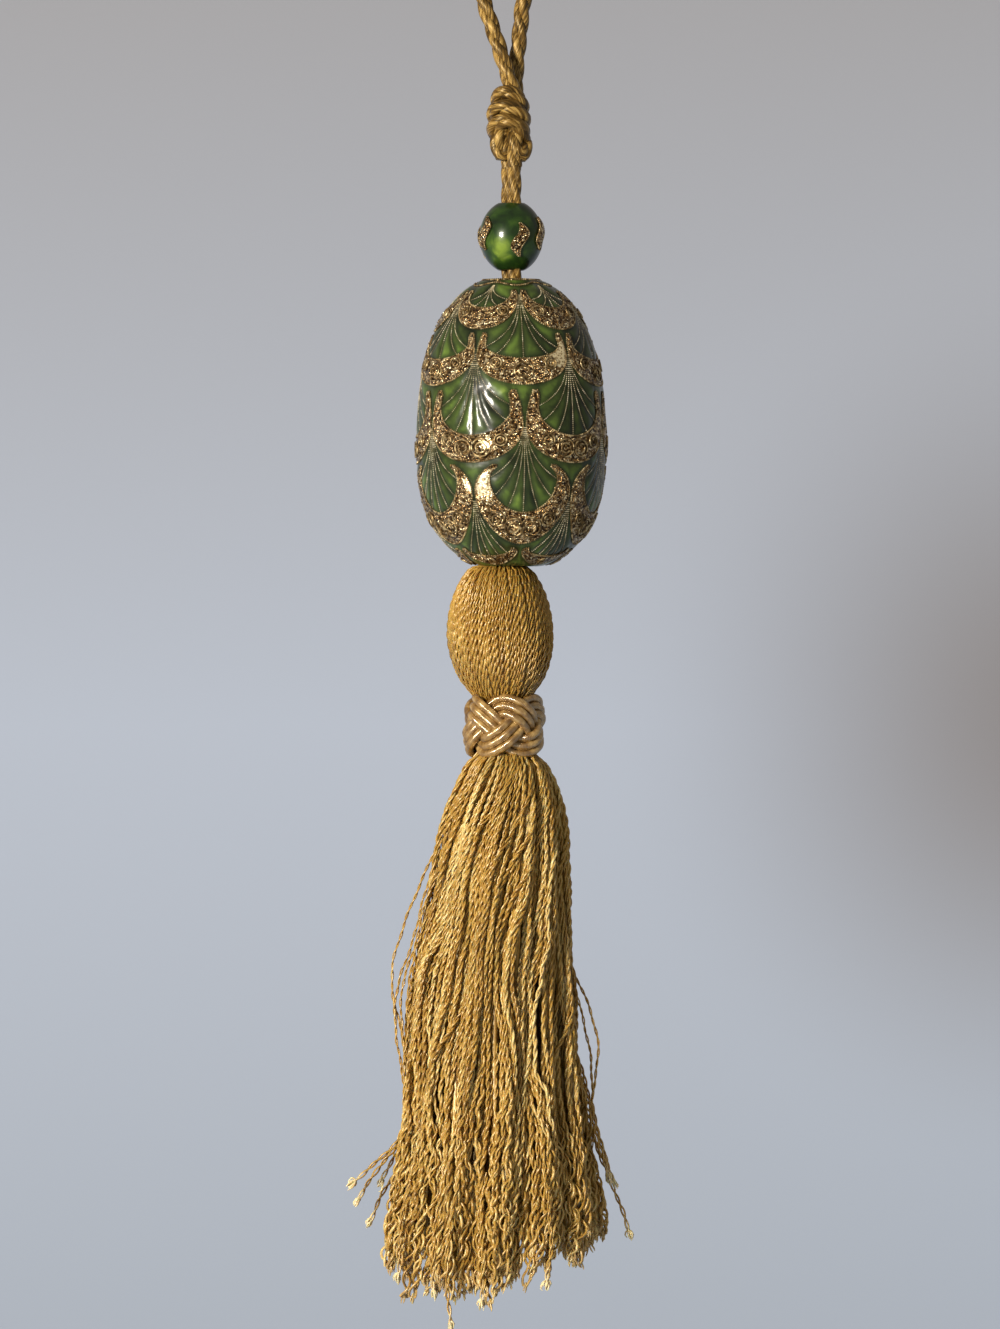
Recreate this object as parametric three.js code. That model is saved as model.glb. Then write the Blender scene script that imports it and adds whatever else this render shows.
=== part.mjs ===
// Key tassel for a drawer: a doubled twisted cord tied in an overhand knot, a small round bead,
// an enamelled egg bead with gilt crescents, and a yarn tassel with a Turk's head band.
// Millimetres, +Z up. The origin is the inner top of the hanging loop, and -Y is the front.
import * as THREE from 'three';

// ---------- driving dimensions ----------
const cordDiameter = 3.6;          // three-ply twisted rayon cord
const tailDiameter = 3.2;          // the same cord drawn tight through the beads
const clearance = 0.3;             // between touching pieces
const knotTop = -60.0;
const knotBottom = -76.4;
const beadTop = -84.6;
const beadBottom = -99.4;
const beadRadius = 7.0;
const boreRadius = 3.75;           // takes the cord twice
const eggTop = -100.9;
const eggWidest = -136.8;
const eggBottom = -164.7;
const eggRadius = 20.4;            // enamel surface, without the gilt
const headTop = -165.1;
const headWidest = -179.8;
const headRadius = 11.7;
const headCentreX = -2.5;
const neckRadius = 5.9;            // the bound neck inside the band
const neckFoot = -205.6;
const bandTop = -192.6;
const bandBottom = -206.8;
const bandRadius = 9.2;
const bandCentreX = -1.6;
const foilThickness = 0.45;
const foilLift = 0.4;              // clears the facets of the egg under it
const scalesPerRow = 6;
const threadDiameter = 1.0;

// ---------- the hanging cord ----------
// centreline of the loop, from the knot up the left leg, over the top and down the right leg
const loopRoute = [
  { x: 0.0, y: -1.95, z: -59.0 },
  { x: -1.8, y: -1.7, z: -53.3 },
  { x: -3.6, y: -1.3, z: -47.8 },
  { x: -6.1, y: -0.6, z: -40.0 },
  { x: -8.0, y: -0.2, z: -31.0 },
  { x: -8.9, y: 0.0, z: -21.0 },
  { x: -8.2, y: 0.0, z: -10.5 },
  { x: -4.9, y: 0.0, z: -1.8 },
  { x: 0.0, y: 0.0, z: 1.6 },
  { x: 4.7, y: 0.0, z: -1.8 },
  { x: 7.6, y: 0.0, z: -10.5 },
  { x: 7.2, y: 0.1, z: -21.0 },
  { x: 4.9, y: 0.4, z: -31.0 },
  { x: 2.7, y: 0.9, z: -40.0 },
  { x: 1.8, y: 1.5, z: -47.8 },
  { x: 1.2, y: 1.8, z: -53.3 },
  { x: 0.9, y: 1.95, z: -59.0 },
];
const loopSteps = 36;
// the two tails lie one behind the other down both bores
const tails = [
  { name: 'cord_tail_left', x: -0.7, y: 1.65 },
  { name: 'cord_tail_right', x: 0.7, y: -1.65 },
];

// outer form of the overhand knot, from the top down: three turns above, an ear on each side below
const knotSections = [
  { z: knotTop, radiusX: 2.3, radiusY: 3.1, centreX: 0.5, turns: 0 },
  { z: -61.8, radiusX: 3.9, radiusY: 4.3, centreX: -0.4, turns: 1 },
  { z: -66.4, radiusX: 4.9, radiusY: 5.0, centreX: -0.6, turns: 1 },
  { z: -70.0, radiusX: 4.9, radiusY: 4.8, centreX: -0.2, turns: 0.8 },
  { z: -74.2, radiusX: 4.7, radiusY: 3.7, centreX: 0.1, turns: 0 },
  { z: knotBottom, radiusX: 2.6, radiusY: 3.1, centreX: 0.1, turns: 0 },
];
const knotTurnPitch = 2.9;
const knotTurnDepth = 0.5;
const knotTurnArch = 0.8;          // each turn rises at the front
const knotLevels = 21;

// ---------- the crescents on the egg, row by row ----------
// tip, widest, innerWidest, inner and bottom are heights; the halves are angles about the egg, in degrees
const crescentRows = [
  { tip: -104.6, widest: -105.4, innerWidest: -105.0, inner: -108.4, bottom: -113.0, half: 28.0, tipHalf: 27.0, innerHalf: 22.0, turned: true },
  { tip: -114.0, widest: -118.4, innerWidest: -116.4, inner: -119.5, bottom: -125.1, half: 29.0, tipHalf: 26.5, innerHalf: 23.5, turned: false },
  { tip: -126.4, widest: -134.2, innerWidest: -130.4, inner: -136.2, bottom: -142.0, half: 29.0, tipHalf: 25.0, innerHalf: 21.5, turned: true },
  { tip: -142.6, widest: -148.4, innerWidest: -145.8, inner: -152.9, bottom: -159.4, half: 29.0, tipHalf: 18.0, innerHalf: 19.5, turned: false },
  { tip: -160.4, widest: -161.0, innerWidest: -160.7, inner: -162.0, bottom: -163.7, half: 27.5, tipHalf: 24.5, innerHalf: 22.0, turned: true },
];
const patternTurn = 8.0;           // the front scale stands a little right of the middle
const handSpread = 5.0;            // the scales are laid a little wider at the front
const crescentStations = 10;
const ringInner = -101.9;          // heights of the gilt rim round the upper hole
const ringOuter = -103.0;
const ringScallop = 0.7;

// gilt leaves on the round bead, in degrees about it
const leaves = [
  { azimuth: 16, drop: 0.9 }, { azimuth: 66, drop: -0.6 }, { azimuth: 130, drop: 0.9 },
  { azimuth: 188, drop: -0.6 }, { azimuth: 246, drop: 0.9 }, { azimuth: 304, drop: -0.6 },
];
const leafLength = 6.6;
const leafWidth = 2.2;

// ---------- the yarn ----------
// the skirt's sections from under the band to the hem
const skirtSections = [
  { z: -205.9, radius: 5.6, centreX: -1.6, lobe: 0.0 },
  { z: -207.1, radius: 5.7, centreX: -1.6, lobe: 0.0 },
  { z: -207.3, radius: 8.0, centreX: -1.5, lobe: 0.2 },
  { z: -208.4, radius: 9.2, centreX: -1.4, lobe: 0.3 },
  { z: -212.0, radius: 10.8, centreX: -1.4, lobe: 0.4 },
  { z: -217.0, radius: 12.6, centreX: -1.5, lobe: 0.6 },
  { z: -224.0, radius: 13.7, centreX: -1.8, lobe: 0.7 },
  { z: -238.0, radius: 15.1, centreX: -2.4, lobe: 0.9 },
  { z: -254.0, radius: 16.4, centreX: -3.6, lobe: 1.1 },
  { z: -271.0, radius: 17.8, centreX: -3.8, lobe: 1.2 },
  { z: -287.0, radius: 19.4, centreX: -3.5, lobe: 1.3 },
  { z: -301.0, radius: 21.8, centreX: -3.4, lobe: 1.4 },
  { z: -311.0, radius: 22.9, centreX: -3.6, lobe: 1.6 },
  { z: -318.0, radius: 20.0, centreX: -3.8, lobe: 1.8 },
];
const skirtLobes = 13;
const lobeTurn = 0.5;              // the lobes drift round by this much, in radians, down to the hem
// how far each lock of thread hangs below or above the hem, one for each lobe
const hemDrops = [4.5, 3.0, 0.0, -2.5, -4.0, 1.0, 2.5, -2.0, -4.5, -7.5, -6.0, -2.0, 1.5];
const hemStart = -301.0;           // the locks part below this
// single threads that stand away from the skirt; out is measured from its surface
const onSurface = threadDiameter / 2 + 0.4;
const strayThreads = [
  [
    { azimuth: -95, z: -227, out: onSurface }, { azimuth: -96, z: -243, out: 4.6 },
    { azimuth: -96, z: -256, out: 5.2 }, { azimuth: -95, z: -272, out: onSurface },
  ],
  [
    { azimuth: -80, z: -291, out: onSurface }, { azimuth: -79, z: -296, out: 5.0 },
    { azimuth: -78, z: -300, out: 9.2 },
  ],
  [
    { azimuth: -99, z: -297, out: onSurface }, { azimuth: -98, z: -303, out: 4.2 },
    { azimuth: -97, z: -309, out: 6.8 },
  ],
  [
    { azimuth: 88, z: -251, out: onSurface }, { azimuth: 89, z: -262, out: 4.0 },
    { azimuth: 90, z: -271, out: 4.4 }, { azimuth: 91, z: -283, out: onSurface },
  ],
  [
    { azimuth: 92, z: -292, out: onSurface }, { azimuth: 91, z: -302, out: 3.6 },
    { azimuth: 90, z: -311.5, out: 6.8 },
  ],
  [
    { azimuth: -22, z: -303, out: onSurface }, { azimuth: -23, z: -316, out: 3.4 },
    { azimuth: -22, z: -330, out: 3.0 },
  ],
];

// ---------- materials ----------
const looks = {
  cord: new THREE.MeshStandardMaterial({ color: 0xb0914a, roughness: 0.55, metalness: 0 }),
  yarn: new THREE.MeshStandardMaterial({ color: 0xb08c3c, roughness: 0.6, metalness: 0 }),
  satin: new THREE.MeshStandardMaterial({ color: 0xc9a566, roughness: 0.4, metalness: 0 }),
  enamel: new THREE.MeshStandardMaterial({ color: 0x4c6b28, roughness: 0.15, metalness: 0 }),
  gilt: new THREE.MeshStandardMaterial({ color: 0xa8803c, roughness: 0.35, metalness: 0.9 }),
};

// ---------- geometry helpers ----------
// a closed skin over rings of equal length, each ring listed counter-clockwise seen from its last neighbour
function loft(rings, closedRound = false) {
  const count = rings[0].length;
  const positions = rings.flat(2);
  const index = [];
  const last = closedRound ? rings.length : rings.length - 1;
  for (let r = 0; r < last; r++) {
    for (let i = 0; i < count; i++) {
      const a = r * count + i;
      const b = r * count + (i + 1) % count;
      const c = ((r + 1) % rings.length) * count + i;
      const d = ((r + 1) % rings.length) * count + (i + 1) % count;
      index.push(a, b, d, a, d, c);
    }
  }
  if (!closedRound) {
    for (const [ring, flip] of [[0, true], [rings.length - 1, false]]) {
      const centre = positions.length / 3;
      for (let axis = 0; axis < 3; axis++) {
        positions.push(rings[ring].reduce((sum, point) => sum + point[axis], 0) / count);
      }
      for (let i = 0; i < count; i++) {
        const a = ring * count + i;
        const b = ring * count + (i + 1) % count;
        index.push(...(flip ? [b, a, centre] : [a, b, centre]));
      }
    }
  }
  const geometry = new THREE.BufferGeometry();
  geometry.setAttribute('position', new THREE.Float32BufferAttribute(positions, 3));
  geometry.setIndex(index);
  return geometry;
}

// a ring of points about the Z axis; the angle runs from the front (-Y) towards +X
function ringAt(sides, pointAt) {
  return Array.from({ length: sides }, (_, i) => pointAt(-(i / sides) * 2 * Math.PI, i));
}

function circle(radius, sides) {
  const shape = new THREE.Shape();
  for (let i = 0; i < sides; i++) {
    const angle = (i / sides) * 2 * Math.PI;
    const point = [radius * Math.cos(angle), radius * Math.sin(angle)];
    if (i) shape.lineTo(...point);
    else shape.moveTo(...point);
  }
  return shape;
}

function tube(points, diameter, steps) {
  const route = new THREE.CatmullRomCurve3(points.map((p) => new THREE.Vector3(...p)));
  return new THREE.ExtrudeGeometry(circle(diameter / 2, 8), { steps, extrudePath: route, bevelEnabled: false });
}

// a profile [radius, z] turned about the Z axis
function turned(profile, segments) {
  const points = profile.map(([radius, z]) => new THREE.Vector2(radius, z));
  return new THREE.LatheGeometry(points, segments).rotateX(Math.PI / 2);
}

const mix = (a, b, t) => a + (b - a) * t;

// value of one column at a height, between the rows of a table
function between(rows, z, column) {
  const next = rows.findIndex((row) => row.z <= z);
  if (next <= 0) return rows[next < 0 ? rows.length - 1 : 0][column];
  const [above, below] = [rows[next - 1], rows[next]];
  return mix(above[column], below[column], (above.z - z) / (above.z - below.z));
}

// ---------- beads ----------
// radius of the egg at a height: a blunt super-ellipse above and below its widest line
function eggAt(z) {
  const above = z > eggWidest;
  const power = above ? 2.3 : 2.5;
  const reach = above ? (z - eggWidest) / (eggTop - eggWidest) : (eggWidest - z) / (eggWidest - eggBottom);
  return eggRadius * Math.pow(Math.max(1 - Math.pow(Math.min(reach, 1), power), 0), 1 / power);
}

// height at which the egg has a given radius, above or below its widest line
function eggHeight(radius, above) {
  const power = above ? 2.3 : 2.5;
  const reach = Math.pow(1 - Math.pow(radius / eggRadius, power), 1 / power);
  return above ? mix(eggWidest, eggTop, reach) : mix(eggWidest, eggBottom, reach);
}

// a point on the egg: azimuth in degrees from the front towards +X, lifted along the surface's normal
function onEgg(azimuth, z, lift) {
  const step = 0.05;
  const radius = eggAt(z);
  const slope = (eggAt(z + step) - eggAt(z - step)) / (2 * step);
  const length = Math.hypot(1, slope);
  const angle = (azimuth * Math.PI) / 180;
  const out = radius + lift / length;
  return [out * Math.sin(angle), -out * Math.cos(angle), z - (lift * slope) / length];
}

function beadProfile(radiusAt, top, bottom, rings) {
  const profile = [[boreRadius, bottom]];
  for (let i = 0; i <= rings; i++) {
    const angle = (i / rings) * Math.PI;
    const z = (top + bottom) / 2 - ((top - bottom) / 2) * Math.cos(angle);
    if (radiusAt(z) > boreRadius + 0.2) profile.push([radiusAt(z), z]);
  }
  profile.push([boreRadius, top], [boreRadius, bottom]);
  return profile;
}

function roundBead() {
  const middle = (beadTop + beadBottom) / 2;
  const half = (beadTop - beadBottom) / 2 / Math.sqrt(1 - (boreRadius / beadRadius) ** 2);
  const radiusAt = (z) => beadRadius * Math.sqrt(1 - ((z - middle) / half) ** 2);
  return { geometry: turned(beadProfile(radiusAt, beadTop, beadBottom, 12), 28), radiusAt, middle };
}

// a gilt leaf bent to an S on the round bead
function beadLeaf({ azimuth, drop }, bead) {
  const stations = 7;
  const rings = [];
  for (let i = 0; i < stations; i++) {
    const t = i / (stations - 1);
    const z = bead.middle - drop + leafLength * (t - 0.5);
    const sway = 9 * Math.sin((t - 0.5) * 2 * Math.PI);
    const width = (leafWidth * Math.sin(Math.PI * mix(0.08, 0.92, t))) / 2;
    const radius = bead.radiusAt(z) + clearance;
    const edge = (side, lift) => {
      const angle = ((azimuth + sway) * Math.PI) / 180 + (side * width) / radius;
      return [(radius + lift) * Math.sin(angle), -(radius + lift) * Math.cos(angle), z];
    };
    rings.push([edge(-1, 0), edge(1, 0), edge(1, foilThickness), edge(-1, foilThickness)].reverse());
  }
  return loft(rings);
}

function eggBead() {
  return turned(beadProfile(eggAt, eggHeight(boreRadius, true), eggHeight(boreRadius, false), 17), 36);
}

// the pattern is laid by hand: angles open a little at the front and close at the back
function handLaid(angle) {
  return patternTurn + angle + handSpread * Math.sin((angle * Math.PI) / 180);
}

// one gilt crescent: a U of foil, horns up
function crescent(row, centre) {
  const horn = Math.PI - Math.asin(row.tipHalf / row.half);
  const arc = (angle, half, widest, lowest) => {
    const aboveWidest = Math.abs(angle) > Math.PI / 2;
    const height = aboveWidest ? (row.tip - widest) / -Math.cos(horn) : widest - lowest;
    return [half * Math.sin(angle), widest - height * Math.cos(angle)];
  };
  const rings = [];
  for (let i = 0; i < crescentStations; i++) {
    const angle = mix(-horn, horn, i / (crescentStations - 1));
    const outer = arc(angle, row.half, row.widest, row.bottom);
    const inside = arc(angle, row.innerHalf, row.innerWidest, row.inner);
    const close = 0.25 * Math.pow(Math.abs(angle) / horn, 4);
    const inner = [mix(inside[0], outer[0], close), mix(inside[1], outer[1], close)];
    const middle = [mix(outer[0], inner[0], 0.5), mix(outer[1], inner[1], 0.5)];
    const corner = ([turn, z], lift) => onEgg(handLaid(centre + turn), z, lift);
    const under = [outer, middle, inner].map((point) => corner(point, foilLift));
    const over = [inner, middle, outer].map((point) => corner(point, foilLift + foilThickness));
    rings.push([...under, ...over]);
  }
  return loft(rings);
}

// the gilt rim round the egg's upper hole, scalloped like the crescents below it
function topRing() {
  const rings = [];
  const stations = 36;
  for (let i = 0; i < stations; i++) {
    const angle = (360 * i) / stations;
    const lowest = ringOuter - ringScallop * (0.5 + 0.5 * Math.cos((angle * scalesPerRow * Math.PI) / 180));
    const corner = (z, lift) => onEgg(handLaid(angle), z, lift);
    const top = foilLift + foilThickness;
    rings.push([corner(lowest, foilLift), corner(ringInner, foilLift), corner(ringInner, top), corner(lowest, top)]);
  }
  return loft(rings, true);
}

// ---------- cord knot, head, band and skirt ----------
function cordKnot() {
  const sides = 24;
  const rings = [];
  for (let level = 0; level < knotLevels; level++) {
    const t = level / (knotLevels - 1);
    const z = mix(knotTop, knotBottom, t);
    const [radiusX, radiusY, centreX, turns] = ['radiusX', 'radiusY', 'centreX', 'turns']
      .map((column) => between(knotSections, z, column));
    rings.push(ringAt(sides, (angle) => {
      const climbed = (z - knotTop - knotTurnArch * Math.cos(angle)) / knotTurnPitch;
      const swell = -knotTurnDepth * turns * Math.cos(2 * Math.PI * climbed + angle);
      return [centreX + (radiusX + swell) * Math.sin(angle), -(radiusY + swell) * Math.cos(angle), z];
    }));
  }
  return loft(rings);
}

// the head: threads laid lengthwise over the top, gathered into the neck
function head() {
  const flutes = 24;
  const fluteDepth = 0.25;
  const sides = flutes * 2;
  const upperHalf = 18.4;            // the oval is cut off by the egg above and the neck below
  const lowerHalf = 16.2;
  const radiusAt = (z) => {
    const reach = z > headWidest ? (z - headWidest) / upperHalf : (headWidest - z) / lowerHalf;
    return headRadius * Math.sqrt(1 - reach * reach);
  };
  const shoulder = bandTop + clearance;
  const levels = [headTop, -166.6, -169, -172.4, -176, -180, -184, -187.4, -190.2, shoulder + 0.1, shoulder, neckFoot];
  return loft(levels.map((z) => ringAt(sides, (angle, i) => {
    const inBand = z <= shoulder;
    const radius = inBand ? neckRadius : radiusAt(z) - fluteDepth * (i % 2);
    const centre = inBand ? bandCentreX : mix(headCentreX, bandCentreX, Math.max((headWidest - z) / 20, 0));
    return [centre + radius * Math.sin(angle), -radius * Math.cos(angle), z];
  })));
}

// height of the Turk's head knot over its core: 0 between strands, 1 on top of a strand that passes over
const leads = 3;
const bights = 5;
const weave = 4.4;                 // the strands swing this far above and below the band's middle
const halfStrand = 2.8;            // three satin cords side by side
function bandRelief(angle, z) {
  const middle = (bandTop + bandBottom) / 2;
  let highest = 0;
  for (let lead = 0; lead < leads; lead++) {
    const along = (bights / leads) * (angle + lead * 2 * Math.PI);
    const slope = (weave * bights) / leads * Math.sin(along) / bandRadius;
    const away = Math.abs(z - middle - weave * Math.cos(along)) / Math.hypot(1, slope) / halfStrand;
    if (away < 1) highest = Math.max(highest, 0.55 * Math.sqrt(1 - away * away) + 0.45 * (0.5 + 0.5 * Math.sin(2 * along)));
  }
  return highest;
}

function knotBand() {
  const sides = 75;
  const levels = 11;
  const innerRadius = neckRadius + clearance;
  const rings = [];
  for (let level = 0; level < levels; level++) {
    const t = level / (levels - 1);
    const z = mix(bandTop, bandBottom, t);
    const barrel = (bandRadius - innerRadius) * Math.sin(Math.PI * mix(0.14, 0.86, t));
    rings.push(ringAt(sides, (angle) => {
      const radius = innerRadius + barrel * mix(0.55, 1, bandRelief(angle, z));
      return [bandCentreX + radius * Math.sin(angle), -radius * Math.cos(angle), z];
    }));
  }
  for (const z of [bandBottom, bandTop]) {
    rings.push(ringAt(sides, (angle) => [
      bandCentreX + innerRadius * Math.sin(angle), -innerRadius * Math.cos(angle), z,
    ]));
  }
  return loft(rings, true);
}

// a point on the skirt, or out from it: the locks of thread are its lobes
function onSkirt(angle, z, out) {
  const highest = skirtSections[0].z;
  const lowest = skirtSections[skirtSections.length - 1].z;
  const down = (highest - Math.max(z, lowest)) / (highest - lowest);
  const lobe = between(skirtSections, z, 'lobe') * Math.cos(skirtLobes * (angle + lobeTurn * down));
  const radius = between(skirtSections, z, 'radius') + lobe + out;
  return [between(skirtSections, z, 'centreX') + radius * Math.sin(angle), -radius * Math.cos(angle), z];
}

function skirt() {
  const sides = skirtLobes * 4;
  return loft(skirtSections.map(({ z }) => ringAt(sides, (angle, i) => {
    const hem = Math.max((hemStart - z) / (hemStart - skirtSections[skirtSections.length - 1].z), 0);
    const [x, y] = onSkirt(angle, z, 0);
    return [x, y, z - hem * hemDrops[Math.floor(i / 4)]];
  })));
}

// a single thread that leaves the skirt's surface at its root
function strayThread(route) {
  const points = route.map(({ azimuth, z, out }) => onSkirt((azimuth * Math.PI) / 180, z, out));
  return tube(points, threadDiameter, 7);
}

// ---------- the object ----------
const tassel = new THREE.Group();

function add(name, geometry, look) {
  const mesh = new THREE.Mesh(geometry, looks[look]);
  mesh.name = name;
  tassel.add(mesh);
}

add('hanging_loop', tube(loopRoute.map(({ x, y, z }) => [x, y, z]), cordDiameter, loopSteps), 'cord');
add('cord_knot', cordKnot(), 'cord');
for (const { name, x, y } of tails) {
  const route = [[x, y, knotBottom - clearance], [x, y, (knotBottom + headTop) / 2], [x, y, headTop + clearance]];
  add(name, tube(route, tailDiameter, 6), 'cord');
}

const bead = roundBead();
add('round_bead', bead.geometry, 'enamel');
leaves.forEach((leaf, i) => add(`bead_leaf_${i + 1}`, beadLeaf(leaf, bead), 'gilt'));

add('egg_bead', eggBead(), 'enamel');
add('egg_top_ring', topRing(), 'gilt');
crescentRows.forEach((row, r) => {
  for (let i = 0; i < scalesPerRow; i++) {
    const pitch = 360 / scalesPerRow;
    const centre = pitch * (i + (row.turned ? 0.5 : 0));
    add(`crescent_${r + 1}_${i + 1}`, crescent(row, centre), 'gilt');
  }
});

add('head', head(), 'yarn');
add('knot_band', knotBand(), 'satin');
add('skirt', skirt(), 'yarn');
strayThreads.forEach((route, i) => add(`stray_thread_${i + 1}`, strayThread(route), 'yarn'));

export default tassel;
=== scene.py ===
import math

import bpy
import numpy as np
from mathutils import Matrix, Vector
from mathutils.kdtree import KDTree


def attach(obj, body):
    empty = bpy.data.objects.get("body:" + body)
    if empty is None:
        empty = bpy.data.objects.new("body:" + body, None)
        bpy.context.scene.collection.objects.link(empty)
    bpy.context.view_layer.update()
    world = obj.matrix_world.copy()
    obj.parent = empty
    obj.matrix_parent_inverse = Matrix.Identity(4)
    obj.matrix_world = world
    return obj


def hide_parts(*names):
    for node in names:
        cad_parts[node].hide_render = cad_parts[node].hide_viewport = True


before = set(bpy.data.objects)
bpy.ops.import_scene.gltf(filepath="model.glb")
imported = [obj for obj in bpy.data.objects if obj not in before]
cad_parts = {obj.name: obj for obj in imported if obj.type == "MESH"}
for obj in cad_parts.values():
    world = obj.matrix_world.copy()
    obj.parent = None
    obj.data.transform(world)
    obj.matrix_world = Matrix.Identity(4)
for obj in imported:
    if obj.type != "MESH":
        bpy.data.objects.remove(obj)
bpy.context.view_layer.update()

mm = 0.001
full = 2 * math.pi


def linear(hexColour):
    # sRGB hex to the linear colour that shaders take
    parts = [int(hexColour[i:i + 2], 16) / 255 for i in (1, 3, 5)]
    return tuple(c / 12.92 if c <= 0.04045 else ((c + 0.055) / 1.055) ** 2.4 for c in parts) + (1.0,)


def addNode(tree, kind, sockets=None, stops=None, **settings):
    # a node with its settings; a socket takes a value, an output, or a node whose first output it links to
    node = tree.nodes.new(kind)
    for name, value in settings.items():
        setattr(node, name, value)
    for socket, value in (sockets or {}).items():
        source = value.outputs[0] if isinstance(value, bpy.types.Node) else value
        if isinstance(source, bpy.types.NodeSocket):
            tree.links.new(source, node.inputs[socket])
        else:
            node.inputs[socket].default_value = value
    if stops:
        elements = node.color_ramp.elements
        while len(elements) < len(stops):
            elements.new(0.5)
        for element, (position, hexColour) in zip(elements, stops):
            element.position = position
            element.color = linear(hexColour)
    return node


def newMaterial(name):
    material = bpy.data.materials.new(name)
    material.use_nodes = True
    material.node_tree.nodes.clear()
    return material, material.node_tree


def addObject(name, data, place=(0, 0, 0), turn=(0, 0, 0)):
    thing = bpy.data.objects.new(name, data)
    thing.location = place
    thing.rotation_euler = turn
    bpy.context.scene.collection.objects.link(thing)
    return thing


def meshObject(name, vertices, faces, material=None, smooth=True, edges=()):
    # vertices in millimetres
    mesh = bpy.data.meshes.new(name)
    mesh.from_pydata((np.asarray(vertices, float) * mm).tolist(), edges, faces)
    mesh.polygons.foreach_set("use_smooth", [smooth] * len(mesh.polygons))
    if material:
        mesh.materials.append(material)
    return addObject(name, mesh)


def storeAttribute(piece, name, values):
    attribute = piece.data.attributes.new(name, "FLOAT", "POINT")
    attribute.data.foreach_set("value", np.asarray(values, np.float32))


def ringFaces(rings, size, start=0, closed=False):
    # quads from ring to ring of points, and a face over each end unless the last ring meets the first
    faces = []
    for r in range(rings if closed else rings - 1):
        near = start + r * size
        far = start + (r + 1) % rings * size
        for i in range(size):
            j = (i + 1) % size
            faces.append((near + i, near + j, far + j, far + i))
    if not closed:
        faces.append(tuple(range(start, start + size))[::-1])
        faces.append(tuple(range(far, far + size)))
    return faces


def flipped(faces):
    return [face[:1] + face[:0:-1] for face in faces]


def keep(piece, slot, *nodes):
    # the piece hangs with the rest and stands for these CAD nodes
    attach(piece, "root")
    if nodes:
        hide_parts(*nodes)
    return piece


def smoothStep(low, high, value):
    t = np.clip((value - low) / (high - low), 0, 1)
    return t * t * (3 - 2 * t)


def resample(curve, count):
    lengths = np.concatenate([[0], np.cumsum(np.linalg.norm(np.diff(curve, axis=0), axis=1))])
    at = np.linspace(0, lengths[-1], count)
    return np.stack([np.interp(at, lengths, curve[:, k]) for k in range(3)], axis=1)


def splineThrough(points, count):
    # a smooth curve through the points, evenly sampled
    points = np.asarray(points, float)
    p = np.vstack([2 * points[0] - points[1], points, 2 * points[-1] - points[-2]])
    curve = []
    for a, b, c, d in zip(p[:-3], p[1:-2], p[2:-1], p[3:]):
        t = np.linspace(0, 1, 24, endpoint=False)[:, None]
        curve.append(0.5 * (2 * b + (c - a) * t + (2 * a - 5 * b + 4 * c - d) * t ** 2
                            + (3 * b - a - 3 * c + d) * t ** 3))
    return resample(np.vstack(curve + [p[-2][None]]), count)


def routeLength(route):
    return float(np.linalg.norm(np.diff(np.asarray(route), axis=0), axis=1).sum())


# the camera stands well back, straight in front
camera = {"place": (-0.0025, -2.0, -0.1862), "lens": 246.0}

cameraData = bpy.data.cameras.new("camera")
cameraData.lens = camera["lens"]
bpy.context.scene.camera = addObject("camera", cameraData, camera["place"], (math.radians(90), 0, 0))
print("camera set")


# geometry nodes for what follows a line or covers a surface
def newTree(name, **inputs):
    tree = bpy.data.node_groups.new(name, "GeometryNodeTree")
    tree.interface.new_socket("Geometry", in_out="INPUT", socket_type="NodeSocketGeometry")
    for socketName, kind in inputs.items():
        tree.interface.new_socket(socketName.replace("_", " "), in_out="INPUT",
                                  socket_type="NodeSocket" + kind)
    tree.interface.new_socket("Geometry", in_out="OUTPUT", socket_type="NodeSocketGeometry")
    return tree, tree.nodes.new("NodeGroupInput").outputs


def endTree(tree, geometry, material):
    real = addNode(tree, "GeometryNodeRealizeInstances", {"Geometry": geometry})
    painted = addNode(tree, "GeometryNodeSetMaterial", {"Geometry": real, "Material": material})
    addNode(tree, "NodeGroupOutput", {0: painted})
    return tree


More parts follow.
